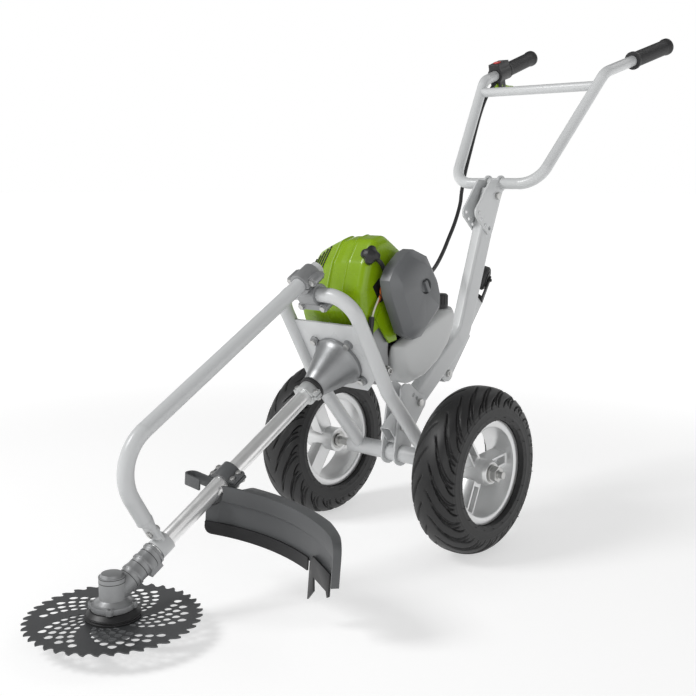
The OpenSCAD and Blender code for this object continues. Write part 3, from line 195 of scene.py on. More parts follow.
# Each look has its material's name, its slot, and what differs from the plain look
plainLook = {"metallic": 0.0, "specular": 0.5, "coat": 0.0, "coatRough": 0.12, "spread": 0.08,
             "speckle": 60.0, "amount": 0.12, "grain": 900.0, "depth": 0.08, "stretch": (1, 1, 1)}
lookRows = {
    "white": {"name": "whitePaint", "slot": "white_paint", "color": (0.575, 0.585, 0.59), "rough": 0.3,
              "amount": 0.03, "speckle": 25.0, "grain": 70.0, "depth": 0.02, "coat": 0.08, "specular": 0.4},
    "cast": {"name": "castAluminium", "slot": "cast_aluminium", "color": (0.54, 0.55, 0.55), "rough": 0.5,
             "metallic": 0.75, "amount": 0.14, "speckle": 160.0, "grain": 500.0, "depth": 0.1},
    "darkCast": {"name": "darkCasting", "slot": "cast_aluminium", "color": (0.33, 0.335, 0.34), "rough": 0.46,
                 "metallic": 0.7, "amount": 0.16, "speckle": 160.0, "grain": 500.0, "depth": 0.1},
    "bell": {"name": "bellCasting", "slot": "cast_aluminium", "color": (0.28, 0.285, 0.29), "rough": 0.4,
             "metallic": 0.75, "amount": 0.14, "speckle": 160.0, "grain": 500.0, "depth": 0.1},
    "rim": {"name": "rimAluminium", "slot": "cast_aluminium", "color": (0.76, 0.765, 0.765), "rough": 0.33,
            "metallic": 0.8, "amount": 0.06, "speckle": 40.0, "grain": 120.0, "depth": 0.03},
    "tube": {"name": "brightTube", "slot": "bright_tube", "color": (0.92, 0.92, 0.915), "rough": 0.32,
             "metallic": 0.85, "amount": 0.06, "grain": 160.0, "depth": 0.04, "stretch": (6.0, 0.4, 0.4)},
    "zinc": {"name": "zincSteel", "slot": "plain_steel", "color": (0.55, 0.55, 0.54), "rough": 0.32,
             "metallic": 0.9, "grain": 300.0, "depth": 0.05},
    "blade": {"name": "bladeSteel", "slot": "blade_steel", "color": (0.105, 0.108, 0.112), "rough": 0.42,
              "metallic": 0.7, "amount": 0.3, "speckle": 90.0, "grain": 300.0},
    "tyre": {"name": "tyreRubber", "slot": "tyre", "color": (0.0135, 0.0135, 0.014), "rough": 0.48,
             "amount": 0.3, "speckle": 160.0, "grain": 700.0, "depth": 0.15},
    "grip": {"name": "gripRubber", "slot": "grip_rubber", "color": (0.016, 0.016, 0.017), "rough": 0.55,
             "amount": 0.25, "speckle": 200.0, "grain": 700.0, "depth": 0.2},
    # black plastic, also used as the painted shade in the shroud's window and vent slits
    "black": {"name": "blackPlasticAndOpeningShade", "slot": "black_plastic", "color": (0.013, 0.013, 0.014), "rough": 0.45,
              "amount": 0.2, "grain": 800.0, "depth": 0.12},
    "grey": {"name": "greyPlastic", "slot": "grey_plastic", "color": (0.084, 0.087, 0.09), "rough": 0.44,
             "amount": 0.1, "grain": 600.0, "depth": 0.1},
    "filter": {"name": "filterPlastic", "slot": "grey_plastic", "color": (0.125, 0.13, 0.135), "rough": 0.36,
               "amount": 0.08, "grain": 600.0},
    "green": {"name": "greenPlastic", "slot": "green_plastic", "color": (0.225, 0.375, 0.003), "rough": 0.27,
              "amount": 0.05, "speckle": 30.0, "grain": 90.0, "depth": 0.015, "coat": 0.15, "specular": 0.35},
    "tank": {"name": "tankPlastic", "slot": "tank_plastic", "color": (0.53, 0.54, 0.54), "rough": 0.34,
             "amount": 0.05, "speckle": 20.0, "grain": 120.0, "depth": 0.02, "coat": 0.15},
    "red": {"name": "redPlastic", "slot": "red_plastic", "color": (0.55, 0.02, 0.015), "rough": 0.3,
            "amount": 0.08, "grain": 300.0, "depth": 0.05, "coat": 0.3},
    "pale": {"name": "paleNylon", "slot": "tank_plastic", "color": (0.62, 0.6, 0.52), "rough": 0.4,
             "amount": 0.08, "grain": 300.0, "depth": 0.05},
    "orange": {"name": "orangeWire", "slot": "red_plastic", "color": (0.75, 0.16, 0.02), "rough": 0.4,
               "amount": 0.08, "grain": 300.0, "depth": 0.05},
    # dark steel for the line knife, also used as the painted shade inside the gear head's parting grooves
    "knifeAndGrooveShade": {"name": "knifeSteelAndGrooveShade", "slot": "plain_steel", "color": (0.03, 0.03, 0.031), "rough": 0.4,
              "metallic": 0.5, "amount": 0.2, "grain": 300.0, "depth": 0.05},
}


def material(row):
    look = {**plainLook, **row}
    mat = bpy.data.materials.new(look["name"])
    mat.use_nodes = True
    tree = mat.node_tree
    shader = tree.nodes["Principled BSDF"]
    setSockets(shader, {"Metallic": look["metallic"], "Specular IOR Level": look["specular"],
                        "Coat Weight": look["coat"], "Coat Roughness": look["coatRough"]})
    spots = addNode(tree, "ShaderNodeGroup", {"Scale": look["speckle"], "Amount": look["amount"],
                                              "Color": (*look["color"], 1)}, node_tree=speckle)
    rough = addNode(tree, "ShaderNodeMapRange", {"To Min": look["rough"] - look["spread"],
                                                 "To Max": look["rough"] + look["spread"]})
    skin = addNode(tree, "ShaderNodeGroup", {"Scale": look["grain"], "Depth": look["depth"],
                                             "Stretch": look["stretch"]}, node_tree=grain)
    wire(tree, (spots, "Color", shader, "Base Color"), (spots, "Mask", rough, "Value"),
         (rough, "Result", shader, "Roughness"), (skin, "Normal", shader, "Normal"))
    return mat


looks = {look: material(row) for look, row in lookRows.items()}
lookNodes = {
    "white": ("axle_tube", "yoke_tube", "engine_plate", "mast_bracket", "hoop_tube", "hoop_saddle",
              "mast_tube", "stand_bracket", "handle_tube", "crossbar", "handle_plates", "stand_leg"),
    "cast": ("clutch_housing", "shaft_collar", "engine_cylinder", "carburettor"),
    "darkCast": ("gear_case", "cross_clamp", "crankcase"),
    "rim": ("left_rim", "right_rim"),
    "tube": ("shaft_tube",),
    "zinc": ("axle_rod", "axle_nuts", "chassis_bolts", "left_bearings", "right_bearings", "spindle",
             "drive_shaft", "clutch_drum", "mast_bolts"),
    "blade": ("muffler", "saw_blade", "ground_cup"),
    "tyre": ("left_tyre", "right_tyre"),
    "grip": ("mount_ring", "left_grip", "right_grip", "caster_wheel"),
    "black": ("guard_skirt", "starter_housing", "spark_plug", "engine_wiring", "throttle_cable_low",
              "blade_holder", "throttle_cable_mid", "switch_housing", "throttle_cable_top", "caster_fork",
              "fuel_cap"),
    "grey": ("debris_guard", "guard_bracket"),
    "filter": ("filter_cover", "filter_knob"),
    "green": ("engine_shroud", "throttle_trigger"),
    "tank": ("fuel_tank",),
    "red": ("stop_switch",),
    "knifeAndGrooveShade": ("line_knife",),
}
nodeLook = {name: look for look, names in lookNodes.items() for name in names}


def dress(obj, look):
    obj.data.materials.clear()
    obj.data.materials.append(looks[look])


def place(obj, look, body=None, *replaced):
    dress(obj, look)
    if body:
        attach(obj, body)
    if replaced:
        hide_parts(*replaced)
    return obj


for name, look in nodeLook.items():
    dress(nodes[name], look)
print("materials on", len(nodeLook), "nodes")


# Rounded-over copies of CAD nodes, so that edges catch the light

softEdge = {"sharp": 38.0, "shade": 42.0, "flat": 0.5, "segments": 2, "profile": 0.6}
softWidths = {
    "handle_tube": 0.0006, "crossbar": 0.0004, "hoop_tube": 0.0008, "yoke_tube": 0.0006, "mast_tube": 0.0012,
    "axle_tube": 0.0006, "shaft_tube": 0.0005, "shaft_collar": 0.0006, "mount_ring": 0.0008,
    "engine_plate": 0.0008, "mast_bracket": 0.0008, "gear_case": 0.0008, "cross_clamp": 0.0012,
    "hoop_saddle": 0.0008, "guard_bracket": 0.001, "crankcase": 0.0015, "filter_cover": 0.005,
    "line_knife": 0.0005, "throttle_trigger": 0.0015, "stop_switch": 0.001, "handle_plates": 0.0008,
    "stand_bracket": 0.0008, "muffler": 0.003, "carburettor": 0.001, "left_rim": 0.0012, "right_rim": 0.0012,
    "starter_housing": 0.002, "caster_fork": 0.001, "filter_knob": 0.001, "fuel_cap": 0.0008,
    "chassis_bolts": 0.0004, "mast_bolts": 0.0005, "axle_nuts": 0.0006, "stand_leg": 0.0006,
    "blade_holder": 0.0012, "ground_cup": 0.001,
}


def softened(node, width):
    mesh = nodes[node].data.copy()
    sharp, flat = math.radians(softEdge["sharp"]), math.radians(softEdge["flat"])
    with editing(mesh) as work:
        bmesh.ops.remove_doubles(work, verts=work.verts, dist=1e-6)
        bmesh.ops.dissolve_limit(work, angle_limit=flat, verts=work.verts, edges=work.edges)
        edges = [e for e in work.edges if len(e.link_faces) == 2 and e.calc_face_angle(0) > sharp]
        bmesh.ops.bevel(work, geom=edges, offset=width, offset_type="OFFSET", segments=softEdge["segments"],
                        profile=softEdge["profile"], affect="EDGES", clamp_overlap=True)
        bmesh.ops.triangulate(work, faces=[f for f in work.faces if len(f.verts) > 4])
    piece = linkNew("soft_" + node, mesh)
    smoothByAngle(piece, softEdge["shade"])
    return place(piece, nodeLook[node], bodyOf[node], node)


for name, width in softWidths.items():
    softened(name, width)
print("softened", len(softWidths), "nodes")


# Tyres: a fine revolved skin with scythe-shaped grooves pressed into it

wheelPlace = {"left": (0.179, 0.637, 0.1475), "right": (-0.179, 0.637, 0.1475)}
tyreForm = {"radius": 0.1475, "section": 0.042, "square": 0.8, "bead": 0.0931, "seat": 0.0275, "turns": 760,
            "across": 112, "tread": 1.45, "treadShare": 0.78, "ribs": (1.30, 1.42, 1.62), "ribHeight": 0.0006,
            "ribWidth": 0.022, "ticks": 38, "tickFrom": 1.75, "tickHalf": 0.04, "tickHeight": 0.0009,
            "shade": 48}
# Each groove has its place in the pitch, its low and high end, its half width and how far it sweeps round
tread = {"pitches": 20, "depth": 0.0030, "curl": 1.7, "sweep": 0.62, "flank": 0.034, "fadeIn": 0.06,
         "fadeOut": 0.08, "thin": 0.45, "belly": 0.9, "bellyFrom": 0.12, "bellyOver": 0.86,
         "grooves": ((0.0, 0.03, 1.42, 0.078, 2.9), (0.5, 0.22, 1.34, 0.066, 2.4),
                     (0.26, 0.9, 1.42, 0.05, 1.0))}


def grooveDepth(across, turn):
    a = abs(across)
    pitch = turn * tread["pitches"] / fullTurn + (0.5 if across < 0 else 0.0)
    depth = 0.0
    for offset, low, high, half, reach in tread["grooves"]:
        if low < a < high:
            f = (a - low) / (high - low)
            sweep = reach * (1 - (1 - f) ** tread["curl"]) * tread["sweep"]
            d = (pitch + sweep - offset) % 1.0
            d = min(d, 1.0 - d)
            swell = math.sin(math.pi * min(1.0, tread["bellyFrom"] + f * tread["bellyOver"]))
            width = half * (tread["thin"] + tread["belly"] * swell)
            if d < width:
                fade = min(1.0, f / tread["fadeIn"], (1 - f) / tread["fadeOut"])
                depth = max(depth, min(1.0, (width - d) / tread["flank"]) * fade)
    return depth


def power(value, exponent):
    return math.copysign(abs(value) ** exponent, value)


def tyreRing(turn, sign):
    count, a, square = tyreForm["across"], tyreForm["section"], tyreForm["square"]
    middle = tyreForm["radius"] - a
    span = math.pi - math.acos(((middle - tyreForm["bead"]) / a) ** (1 / square))
    share = tyreForm["treadShare"]
    tick = turn * tyreForm["ticks"] / fullTurn % 1.0
    onTick = min(tick, 1 - tick) < tyreForm["tickHalf"]
    ring = [(tyreForm["bead"], -tyreForm["seat"])]
    for j in range(count + 1):
        f = abs(2 * j / count - 1)
        q = tyreForm["tread"] * f / share
        if f >= share:
            q = tyreForm["tread"] + (span - tyreForm["tread"]) * (f - share) / (1 - share)
        rib = sum(tyreForm["ribHeight"] * math.exp(-((q - at) / tyreForm["ribWidth"]) ** 2)
                  for at in tyreForm["ribs"])
        rib += tyreForm["tickHeight"] if q > tyreForm["tickFrom"] and onTick else 0.0
        q = q if 2 * j > count else -q
        size = a + rib - tread["depth"] * grooveDepth(q, turn * sign)
        ring.append((middle + size * power(math.cos(q), square), size * power(math.sin(q), square)))
    return ring + [(tyreForm["bead"], tyreForm["seat"])]


def tyrePiece(side, sign):
    cx, cy, cz = wheelPlace[side]
    turns = tyreForm["turns"]
    verts, faces = [], []
    for i in range(turns):
        turn = fullTurn * i / turns
        up, along = polar(1, turn)
        verts.extend((cx + z, cy + r * along, cz + r * up) for r, z in tyreRing(turn, sign))
    rows = len(verts) // turns
    for i in range(turns):
        for j in range(rows - 1):
            p, q = i * rows + j, (i + 1) % turns * rows + j
            faces.append((p, p + 1, q + 1, q))
    obj = meshObject(side + "TyreTread", verts, faces)
    smoothByAngle(obj, tyreForm["shade"])
    return place(obj, "tyre", side + "_wheel", side + "_tyre")


for side, sign in sides:
    tyrePiece(side, sign)
print("tyres done")


# Saw blade: hooked teeth and five swirling fans of drop-shaped holes, filled as one flat outline

# A tooth's points are shares of the pitch and millimetres in from the rim
blade = {"radius": 0.1275, "low": 0.029, "thick": 0.002, "teeth": 40, "arbor": 0.0128, "arborSides": 48,
         "fans": 5, "spirals": 4, "rows": 6, "first": 0.046, "last": 0.1005, "rowTurn": 7.0,
         "spiralTurn": 13.5, "long": 0.86, "wide": 0.8, "drop": 0.22, "holeSides": 18,
         "tooth": ((0.0, 0.0), (0.05, 0.3), (0.07, 2.6), (0.11, 6.0), (0.19, 8.6), (0.31, 9.4), (0.43, 8.7),
                   (0.53, 7.0), (0.63, 4.6), (0.74, 2.6), (0.88, 1.0))}


def spun(x, y, angle):
    c, s = polar(1, angle)
    return x * c - y * s, x * s + y * c


def bladeHole(row, turn):
    gap = (blade["last"] - blade["first"]) / (blade["rows"] - 1)
    r = blade["first"] + gap * row
    drift = r * math.radians(blade["rowTurn"])
    lean = math.atan2(drift, gap)
    length = blade["long"] * math.hypot(gap, drift) / 2
    width = blade["wide"] * r * math.radians(blade["spiralTurn"]) * math.cos(lean) / 2
    points = []
    for k in range(blade["holeSides"]):
        c, s = polar(1, fullTurn * k / blade["holeSides"])
        x, y = spun(length * c, width * s * (1 + blade["drop"] * c), lean)
        points.append(spun(r + x, y, turn))
    return points


def bladeLoops():
    pitch = fullTurn / blade["teeth"]
    loops = [[polar(blade["radius"] - d / 1000, (k + f) * pitch)
              for k in range(blade["teeth"]) for f, d in blade["tooth"]]]
    count = blade["arborSides"]
    loops.append([polar(blade["arbor"], fullTurn * k / count) for k in range(count)])
    for fan in range(blade["fans"]):
        for row in range(blade["rows"]):
            for k in range(blade["spirals"]):
                degrees = 360 / blade["fans"] * fan + blade["rowTurn"] * row + blade["spiralTurn"] * k
                loops.append(bladeHole(row, math.radians(degrees)))
    return loops


def bladePiece():
    flat = bpy.data.curves.new("bladeFlat", "CURVE")
    flat.dimensions = "2D"
    flat.fill_mode = "BOTH"
    flat.extrude = blade["thick"] / 2
    for loop in bladeLoops():
        line = flat.splines.new("POLY")
        line.points.add(len(loop) - 1)
        line.points.foreach_set("co", [c for x, y in loop for c in (x, y, 0, 1)])
        line.use_cyclic_u = True
    mesh = finalMesh(linkNew("bladeCurve", flat))
    mesh.transform(Matrix.Translation((0, 0, blade["low"] + blade["thick"] / 2)))
    with editing(mesh) as work:
        bmesh.ops.remove_doubles(work, verts=work.verts, dist=1e-6)
        bmesh.ops.recalc_face_normals(work, faces=work.faces)
    piece = linkNew("bladeToothed", mesh)
    smoothByAngle(piece)
    return place(piece, "blade", "cutter", "saw_blade")


bladePiece()
print("blade done")


# Turned pieces and tubes along a route

def ringFaces(rings, count, hollow=False):
    faces = []
    for i in range(rings - 1):
        for k in range(count):
            a, b = i * count + k, i * count + (k + 1) % count
            faces.append((a, b, b + count, a + count))
    last = (rings - 1) * count
    if hollow:
        return faces + [(last + k, last + (k + 1) % count, (k + 1) % count, k) for k in range(count)]
    return faces + [tuple(range(count - 1, -1, -1)), tuple(last + k for k in range(count))]


def turned(name, profile, at, axis, look, body, around=32, hollow=False):
    verts = [(*polar(r, fullTurn * k / around), z) for z, r in profile for k in range(around)]
    obj = meshObject(name, verts, ringFaces(len(profile), around, hollow))
    turn = Vector((0, 0, 1)).rotation_difference(Vector(axis)).to_matrix().to_4x4()
    obj.data.transform(Matrix.Translation(Vector(at)) @ turn)
    smoothByAngle(obj)
    return place(obj, look, body)


def smoothRoute(points, steps, first, last):
    path = []
    for i in range(first, last):
        a, b, c, d = points[max(i - 1, 0)], points[i], points[i + 1], points[min(i + 2, len(points) - 1)]
        for k in range(steps):
            f = k / steps
            path.append(0.5 * (2 * b + (c - a) * f + (2 * a - 5 * b + 4 * c - d) * f * f
                               + (3 * b - a - 3 * c + d) * f ** 3))
    return path + [points[last]]


def tubeAlong(name, points, diameter, look, body=None, around=14, steps=8, first=0, last=None):
    path = smoothRoute([Vector(p) for p in points], steps, first, len(points) - 1 if last is None else last)
    verts = []
    normal = None
    for i, p in enumerate(path):
        along = (path[min(i + 1, len(path) - 1)] - path[max(i - 1, 0)]).normalized()
        if normal is None:
            normal = along.orthogonal().normalized()
        normal = (normal - along * normal.dot(along)).normalized()
        other = along.cross(normal)
        for k in range(around):
            c, s = polar(1, fullTurn * k / around)
            verts.append(p + (normal * c + other * s) * diameter / 2)
    obj = meshObject(name, verts, ringFaces(len(path), around))
    smoothByAngle(obj, 50)
    return place(obj, look, body)


# Engine shroud: the side outline drawn across the machine, with rounded ends and two folds, in millimetres

shroud = {"outline": ((33, 0), (39, 78), (57, 107), (90, 139), (125, 157), (146, 151), (168, 108), (170, 40)),
          "edge": 9, "front": 36, "back": 68, "split": 122, "right": -93, "left": 61, "round": 15,
          "skin": 2.6, "fall": 0.29, "fallCurve": 1.3, "shift": 10, "shiftReach": 120, "frontLean": 0.05,
          "alongSide": 9, "roundCorner": 6, "calm": 10, "roundSteps": 8, "start": 2,
          "step": 1.5, "fadeFrom": 60, "fadeOver": 40}
folds = {"at": (-19, 18), "height": 2.2, "half": 2.2, "sink": 2.4, "sinkEdge": 1.2, "plain": 3}
slabs = {
    "shroudStrip": ("green", 58.6, 62.4, ((53, 52), (86, 70), (92, 20), (84, -12), (63, -4))),
    # the window is a thin black slab on the shroud's side that paints the shade inside the opening
    "shroudWindow": ("black", 60.4, 61.9, ((76, 104), (98, 108), (99, 64), (78, 70))),
    "crankcaseCover": ("darkCast", 45.0, 56.0, ((20, 44), (60, 46), (96, 22), (98, -5), (68, -7), (58, -22),
                                                (50, -42), (47, -62), (24, -60), (14, 0))),
}
slabEdge = 0.0008
coverBolt = {"at": (0.056, 0.040, -0.047),
             "profile": ((-0.002, 0.0085), (0.0035, 0.0085), (0.0045, 0.0078), (0.0045, 0.0062),
                         (0.0085, 0.0062), (0.0092, 0.0054), (0.0092, 0.0034), (0.006, 0.0032))}
slits = {"count": 5, "at": -82, "apart": 9, "from": 27, "to": 45, "lift": 0.3, "diameter": 0.0032}


def shroudOutline():
    corners = [Vector(p) for p in shroud["outline"]]
    pairs = list(zip(corners, corners[1:]))
    ways = [(b - a).normalized() for a, b in pairs]
    normals = [Vector((-d.y, d.x)) for d in ways]
    count, bend = shroud["alongSide"], shroud["roundCorner"]
    rows = []
    for i, (a, b) in enumerate(pairs):
        rows += [(a.lerp(b, k / count), normals[i]) for k in range(count)]
        if i + 1 < len(normals):
            rows += [(b, normals[i].lerp(normals[i + 1], k / bend).normalized()) for k in range(1, bend)]
    rows.append((corners[-1], normals[-1]))
    line = [[c + shroud["edge"] * n, n] for c, n in rows]
    for _ in range(shroud["calm"]):
        line = [line[0]] + [[(p[0] + 2 * q[0] + r[0]) / 4, (p[1] + 2 * q[1] + r[1]).normalized()]
                            for p, q, r in zip(line, line[1:], line[2:])] + [line[-1]]
    front = next(i for i, row in enumerate(line) if row[0].y > shroud["front"])
    back = max(i for i, row in enumerate(line) if row[0].y > shroud["back"])
    first, last = line[front], line[back]
    lean = shroud["frontLean"] * (first[0].y - shroud["front"])
    start = [Vector((first[0].x - lean, shroud["front"])), first[1]]
    end = [Vector((last[0].x, shroud["back"])), last[1]]
    return [start] + line[front:back + 1] + [end]


def shroudPoint(x, row, lift):
    q = row[0] + row[1] * lift
    out = max(0.0, x / shroud["right"])
    fall = 1 - shroud["fall"] * out ** shroud["fallCurve"]
    shift = shroud["shift"] * out ** 2 * max(0.0, 1 - q.x / shroud["shiftReach"])
    height = shroud["front"] + (q.y - shroud["front"]) * fall
    return enginePoint(x / 1000, (q.x + shift) / 1000, height / 1000)


def shroudColumns():
    r, steps = shroud["round"], shroud["roundSteps"]
    bends = [polar(r, math.radians(90 * k / steps)) for k in range(steps + 1)]
    columns = [(shroud["right"] + r - c, r - s) for c, s in bends]
    x = shroud["right"] + r + shroud["start"]
    while x < shroud["left"] - r:
        fold = sum(folds["height"] * math.exp(-((x - at) / folds["half"]) ** 2) for at in folds["at"])
        rise, drop = (1 / (1 + math.exp(-(x - at) / folds["sinkEdge"])) for at in folds["at"])
        columns.append((x, folds["sink"] * (rise - drop) - fold))
        x += shroud["step"]
    return columns + [(shroud["left"] - r + c, r - s) for c, s in reversed(bends)]


def shroudPiece(line):
    columns = shroudColumns()
    verts, faces = [], []
    size = len(line)
    for x, inset in columns:
        for row in line:
            fade = 1.0
            if inset < folds["plain"]:
                fade = clamped((row[0].y - shroud["fadeFrom"]) / shroud["fadeOver"])
            verts.append(shroudPoint(x, row, -inset * fade))
    for i in range(len(columns) - 1):
        for j in range(size - 1):
            a = i * size + j
            faces.append((a, a + 1, a + size + 1, a + size))
    for i, x in ((0, shroud["right"]), (len(columns) - 1, shroud["left"])):
        corner = len(verts)
        verts += enginePoints([(x, shroud["split"], shroud["back"]), (x, shroud["split"], shroud["front"])])
        loop = [i * size + j for j in range(size)] + [corner, corner + 1]
        faces.append(tuple(loop) if i == 0 else tuple(reversed(loop)))
    obj = meshObject("shroudShell", verts, faces)
    with editing(obj.data) as work:
        bmesh.ops.triangulate(work, faces=[f for f in work.faces if len(f.verts) > 4])
        bmesh.ops.recalc_face_normals(work, faces=work.faces)
        top = max(work.faces, key=lambda f: f.calc_center_median().z)
        if top.normal.z < 0:
            bmesh.ops.reverse_faces(work, faces=work.faces)
        bmesh.ops.solidify(work, geom=work.faces[:], thickness=shroud["skin"] / 1000)
    smoothByAngle(obj)
    return place(obj, "green", "chassis", "engine_shroud")


def engineSlab(name, look, near, far, rows):
    verts = enginePoints([(x, s, h) for x in (near, far) for s, h in rows])
    n = len(rows)
    faces = [tuple(range(n)), tuple(range(2 * n - 1, n - 1, -1))]
    faces += [(k, k + n, (k + 1) % n + n, (k + 1) % n) for k in range(n)]
    obj = meshObject(name, verts, faces, smooth=False)
    with editing(obj.data) as work:
        bmesh.ops.recalc_face_normals(work, faces=work.faces)
        bmesh.ops.bevel(work, geom=work.edges[:], offset=slabEdge, segments=2, affect="EDGES",
                        clamp_overlap=True)
    smoothByAngle(obj)
    return place(obj, look, "chassis")


shroudLine = shroudOutline()
shroudPiece(shroudLine)
for name, row in slabs.items():
    engineSlab(name, *row)
turned("coverBolt", coverBolt["profile"], enginePoint(*coverBolt["at"]), (1, 0, 0), "zinc", "chassis")
# each vent slit is a thin black rod laid on the shroud, painted shade for the slit's opening
for k in range(slits["count"]):
    x = slits["at"] + slits["apart"] * k
    route = [shroudPoint(x, row, slits["lift"]) for row in shroudLine[slits["from"] + k:slits["to"] + k]]
    tubeAlong("shroudSlitShade%d" % k, route, slits["diameter"], "black", "chassis", around=8, steps=1)
print("shroud done")


# Spark lead, loom and throttle cable, with routes in millimetres

wires = {"lead": 0.0078, "wire": 0.0032, "sheath": 0.0096,
         "leadRoute": ((66, 92, 158), (72, 96, 149), (74, 101, 137), (71, 106, 122), (69, 111, 105)),
         "sheathRoute": ((66, 45, 65), (66, 28, 43), (64.5, 17, 20), (58, 13, 2), (50, 16, -6)),
         "loom": (("orange", 0.0), ("black", 2.6), ("pale", -2.4), ("orange", 4.4))}
tubeAlong("sparkLead", enginePoints(wires["leadRoute"]), wires["lead"], "black", "chassis")
for k, (look, shift) in enumerate(wires["loom"]):
    route = [(63, 96, 92 + shift * 0.4), (66.5 + shift * 0.3, 84, 88 + shift), (67.5, 72 + shift, 81),
             (67 - shift * 0.3, 56 + shift * 0.6, 73), (66, 43, 62)]
    tubeAlong("loomWire%d" % k, enginePoints(route), wires["wire"], look, "chassis", around=10)
sheath = tubeAlong("loomSheath", enginePoints(wires["sheathRoute"]), wires["sheath"], "black", "chassis")
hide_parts("engine_wiring")

# The cable is cut where it passes from the handle to the mast and on to the engine
cable = {"diameter": 0.0078, "around": 16, "cuts": (0, 6, 9, 17),
         "route": ((-150, 1163, 857), (-152, 1138, 831), (-147, 1105, 790), (-130, 1052, 722),
                   (-112, 1002, 660), (-94, 966, 622), (-84, 948, 600), (-75, 925, 575), (-66, 900, 553),
                   (-58, 875, 533), (-44, 838, 508), (-28, 796, 486), (-6, 748, 474), (18, 700, 468),
                   (40, 650, 465), (57, 606, 464), (66, 578, 474), (68, 562, 479))}
whole = metres(cable["route"])
cuts = cable["cuts"]
cablePieces = [tubeAlong("throttleCable" + label, whole, cable["diameter"], "black", around=cable["around"],
                         first=cuts[k], last=cuts[k + 1]) for k, label in enumerate(("Top", "Mid", "Low"))]
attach(cablePieces[0], "handle")
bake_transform(cablePieces[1])
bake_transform(cablePieces[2])
for piece, node in zip(cablePieces, ("throttle_cable_top", "throttle_cable_mid", "throttle_cable_low")):
    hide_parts(node)
print("cables done")


# Moulded pieces: the CAD solid with every edge run soft, by voxel size and rounds of smoothing

mouldRows = {"fuel_tank": ("tankMoulded", 0.0036, 14), "switch_housing": ("switchMoulded", 0.0012, 9),
             "spark_plug": ("plugBoot", 0.0011, 10)}
mouldFactor = 0.6


def moulded(node, name, voxel, rounds):
    obj = linkNew(name + "Block", nodes[node].data.copy())
    remesh = obj.modifiers.new("remesh", "REMESH")
    remesh.mode = "VOXEL"
    remesh.voxel_size = voxel
    soften = obj.modifiers.new("soften", "SMOOTH")
    soften.factor = mouldFactor
    soften.iterations = rounds
    piece = linkNew(name, finalMesh(obj))
    smoothAll(piece.data)
    return place(piece, nodeLook[node], bodyOf[node], node)


for node, row in mouldRows.items():
    moulded(node, *row)
print("moulded pieces done")


# Guard: a swept wall with a stepped band along its top, rounded down at the free end, in millimetres

guard = {"mid": (120, -45), "radius": 267, "wall": 3, "top": 187, "low": 120, "lip": 24, "flange": 16,
         "jog": 5, "hem": 13, "first": 56, "last": 120, "clear": 107, "clearOver": 1.5, "corner": 24,
         "rib": 4, "foot": 1, "slim": 0.42, "slimOver": 70, "hemFrom": 12, "hemOver": 40, "roll": 5.7,
         "hinge": -14, "clamp": 19.6, "clampAt": 256, "columns": 110, "crowd": 1.25, "edge": 0.0009,
         "edgeAngle": 35, "shade": 38, "ledge": 0.6, "hemEdge": 0.4, "hemSkin": 0.3, "stepDrop": 8,
         "drill": 0.08, "drillAround": 64}


def guardProfile(degrees):
    r, w, jog = guard["radius"], guard["wall"], guard["jog"]
    y = math.radians(degrees - guard["first"]) * r
    bend = max(0.0, guard["corner"] - y)
    top = guard["top"] - guard["corner"] + math.sqrt(guard["corner"] ** 2 - bend ** 2)
    share = clamped((guard["clear"] - degrees) / guard["clearOver"])
    turn = clamped((y - guard["hemFrom"]) / guard["hemOver"]) * share
    deep = guard["flange"] * (guard["slim"] + (1 - guard["slim"]) * min(1.0, y / guard["slimOver"]))
    thin = w + guard["ledge"]
    back = r - jog + thin + (deep + jog - thin) * share
    narrow = w + guard["hemEdge"]
    hem = top - (narrow + (guard["hem"] - narrow) * turn)
    step = min(guard["top"] - guard["lip"], top - guard["stepDrop"])
    low, front, rear, rise = guard["low"], r, r + w, r - jog + w
    if y < guard["rib"]:
        low, front, rear, rise = guard["low"] - guard["foot"], r - jog, back, back
    inner = max(rise, back - guard["hemSkin"] - w * turn)
    return ((front, low), (rear, low), (rear, step - 1), (rise, step + 3), (rise, top - w), (inner, top - w),
            (inner, hem), (back + 0.01, hem), (back + 0.01, top), (r - jog, top), (r - jog, step),
            (front, step - 4))


def guardBlank():
    first, count = guard["first"], guard["columns"]
    edge = first + math.degrees(guard["rib"] / guard["radius"])
    marks = [first + (guard["last"] - first) * (k / count) ** guard["crowd"] for k in range(count + 1)]
    marks = sorted(marks + [edge - 0.02, edge + 0.02])
    verts, faces = [], []
    for degrees in marks:
        c, s = polar(1, math.radians(degrees))
        verts.extend((guard["mid"][0] + r * c, guard["mid"][1] + r * s, z) for r, z in guardProfile(degrees))
    size = len(verts) // len(marks)
    for i in range(len(marks) - 1):
        for k in range(size):
            a, b = i * size + k, i * size + (k + 1) % size
            faces.append((a, a + size, b + size, b))
    faces.append(tuple(range(size)))
    faces.append(tuple(len(verts) - 1 - k for k in range(size)))
    obj = meshObject("guardBlank", metres(verts), faces, smooth=False)
    pivot = Matrix.Translation(Vector((guard["hinge"] / 1000, 0, guard["low"] / 1000)))
    obj.data.transform(pivot @ Matrix.Rotation(math.radians(guard["roll"]), 4, "Y") @ pivot.inverted())
    with editing(obj.data) as work:
        bmesh.ops.recalc_face_normals(work, faces=work.faces)
    return obj


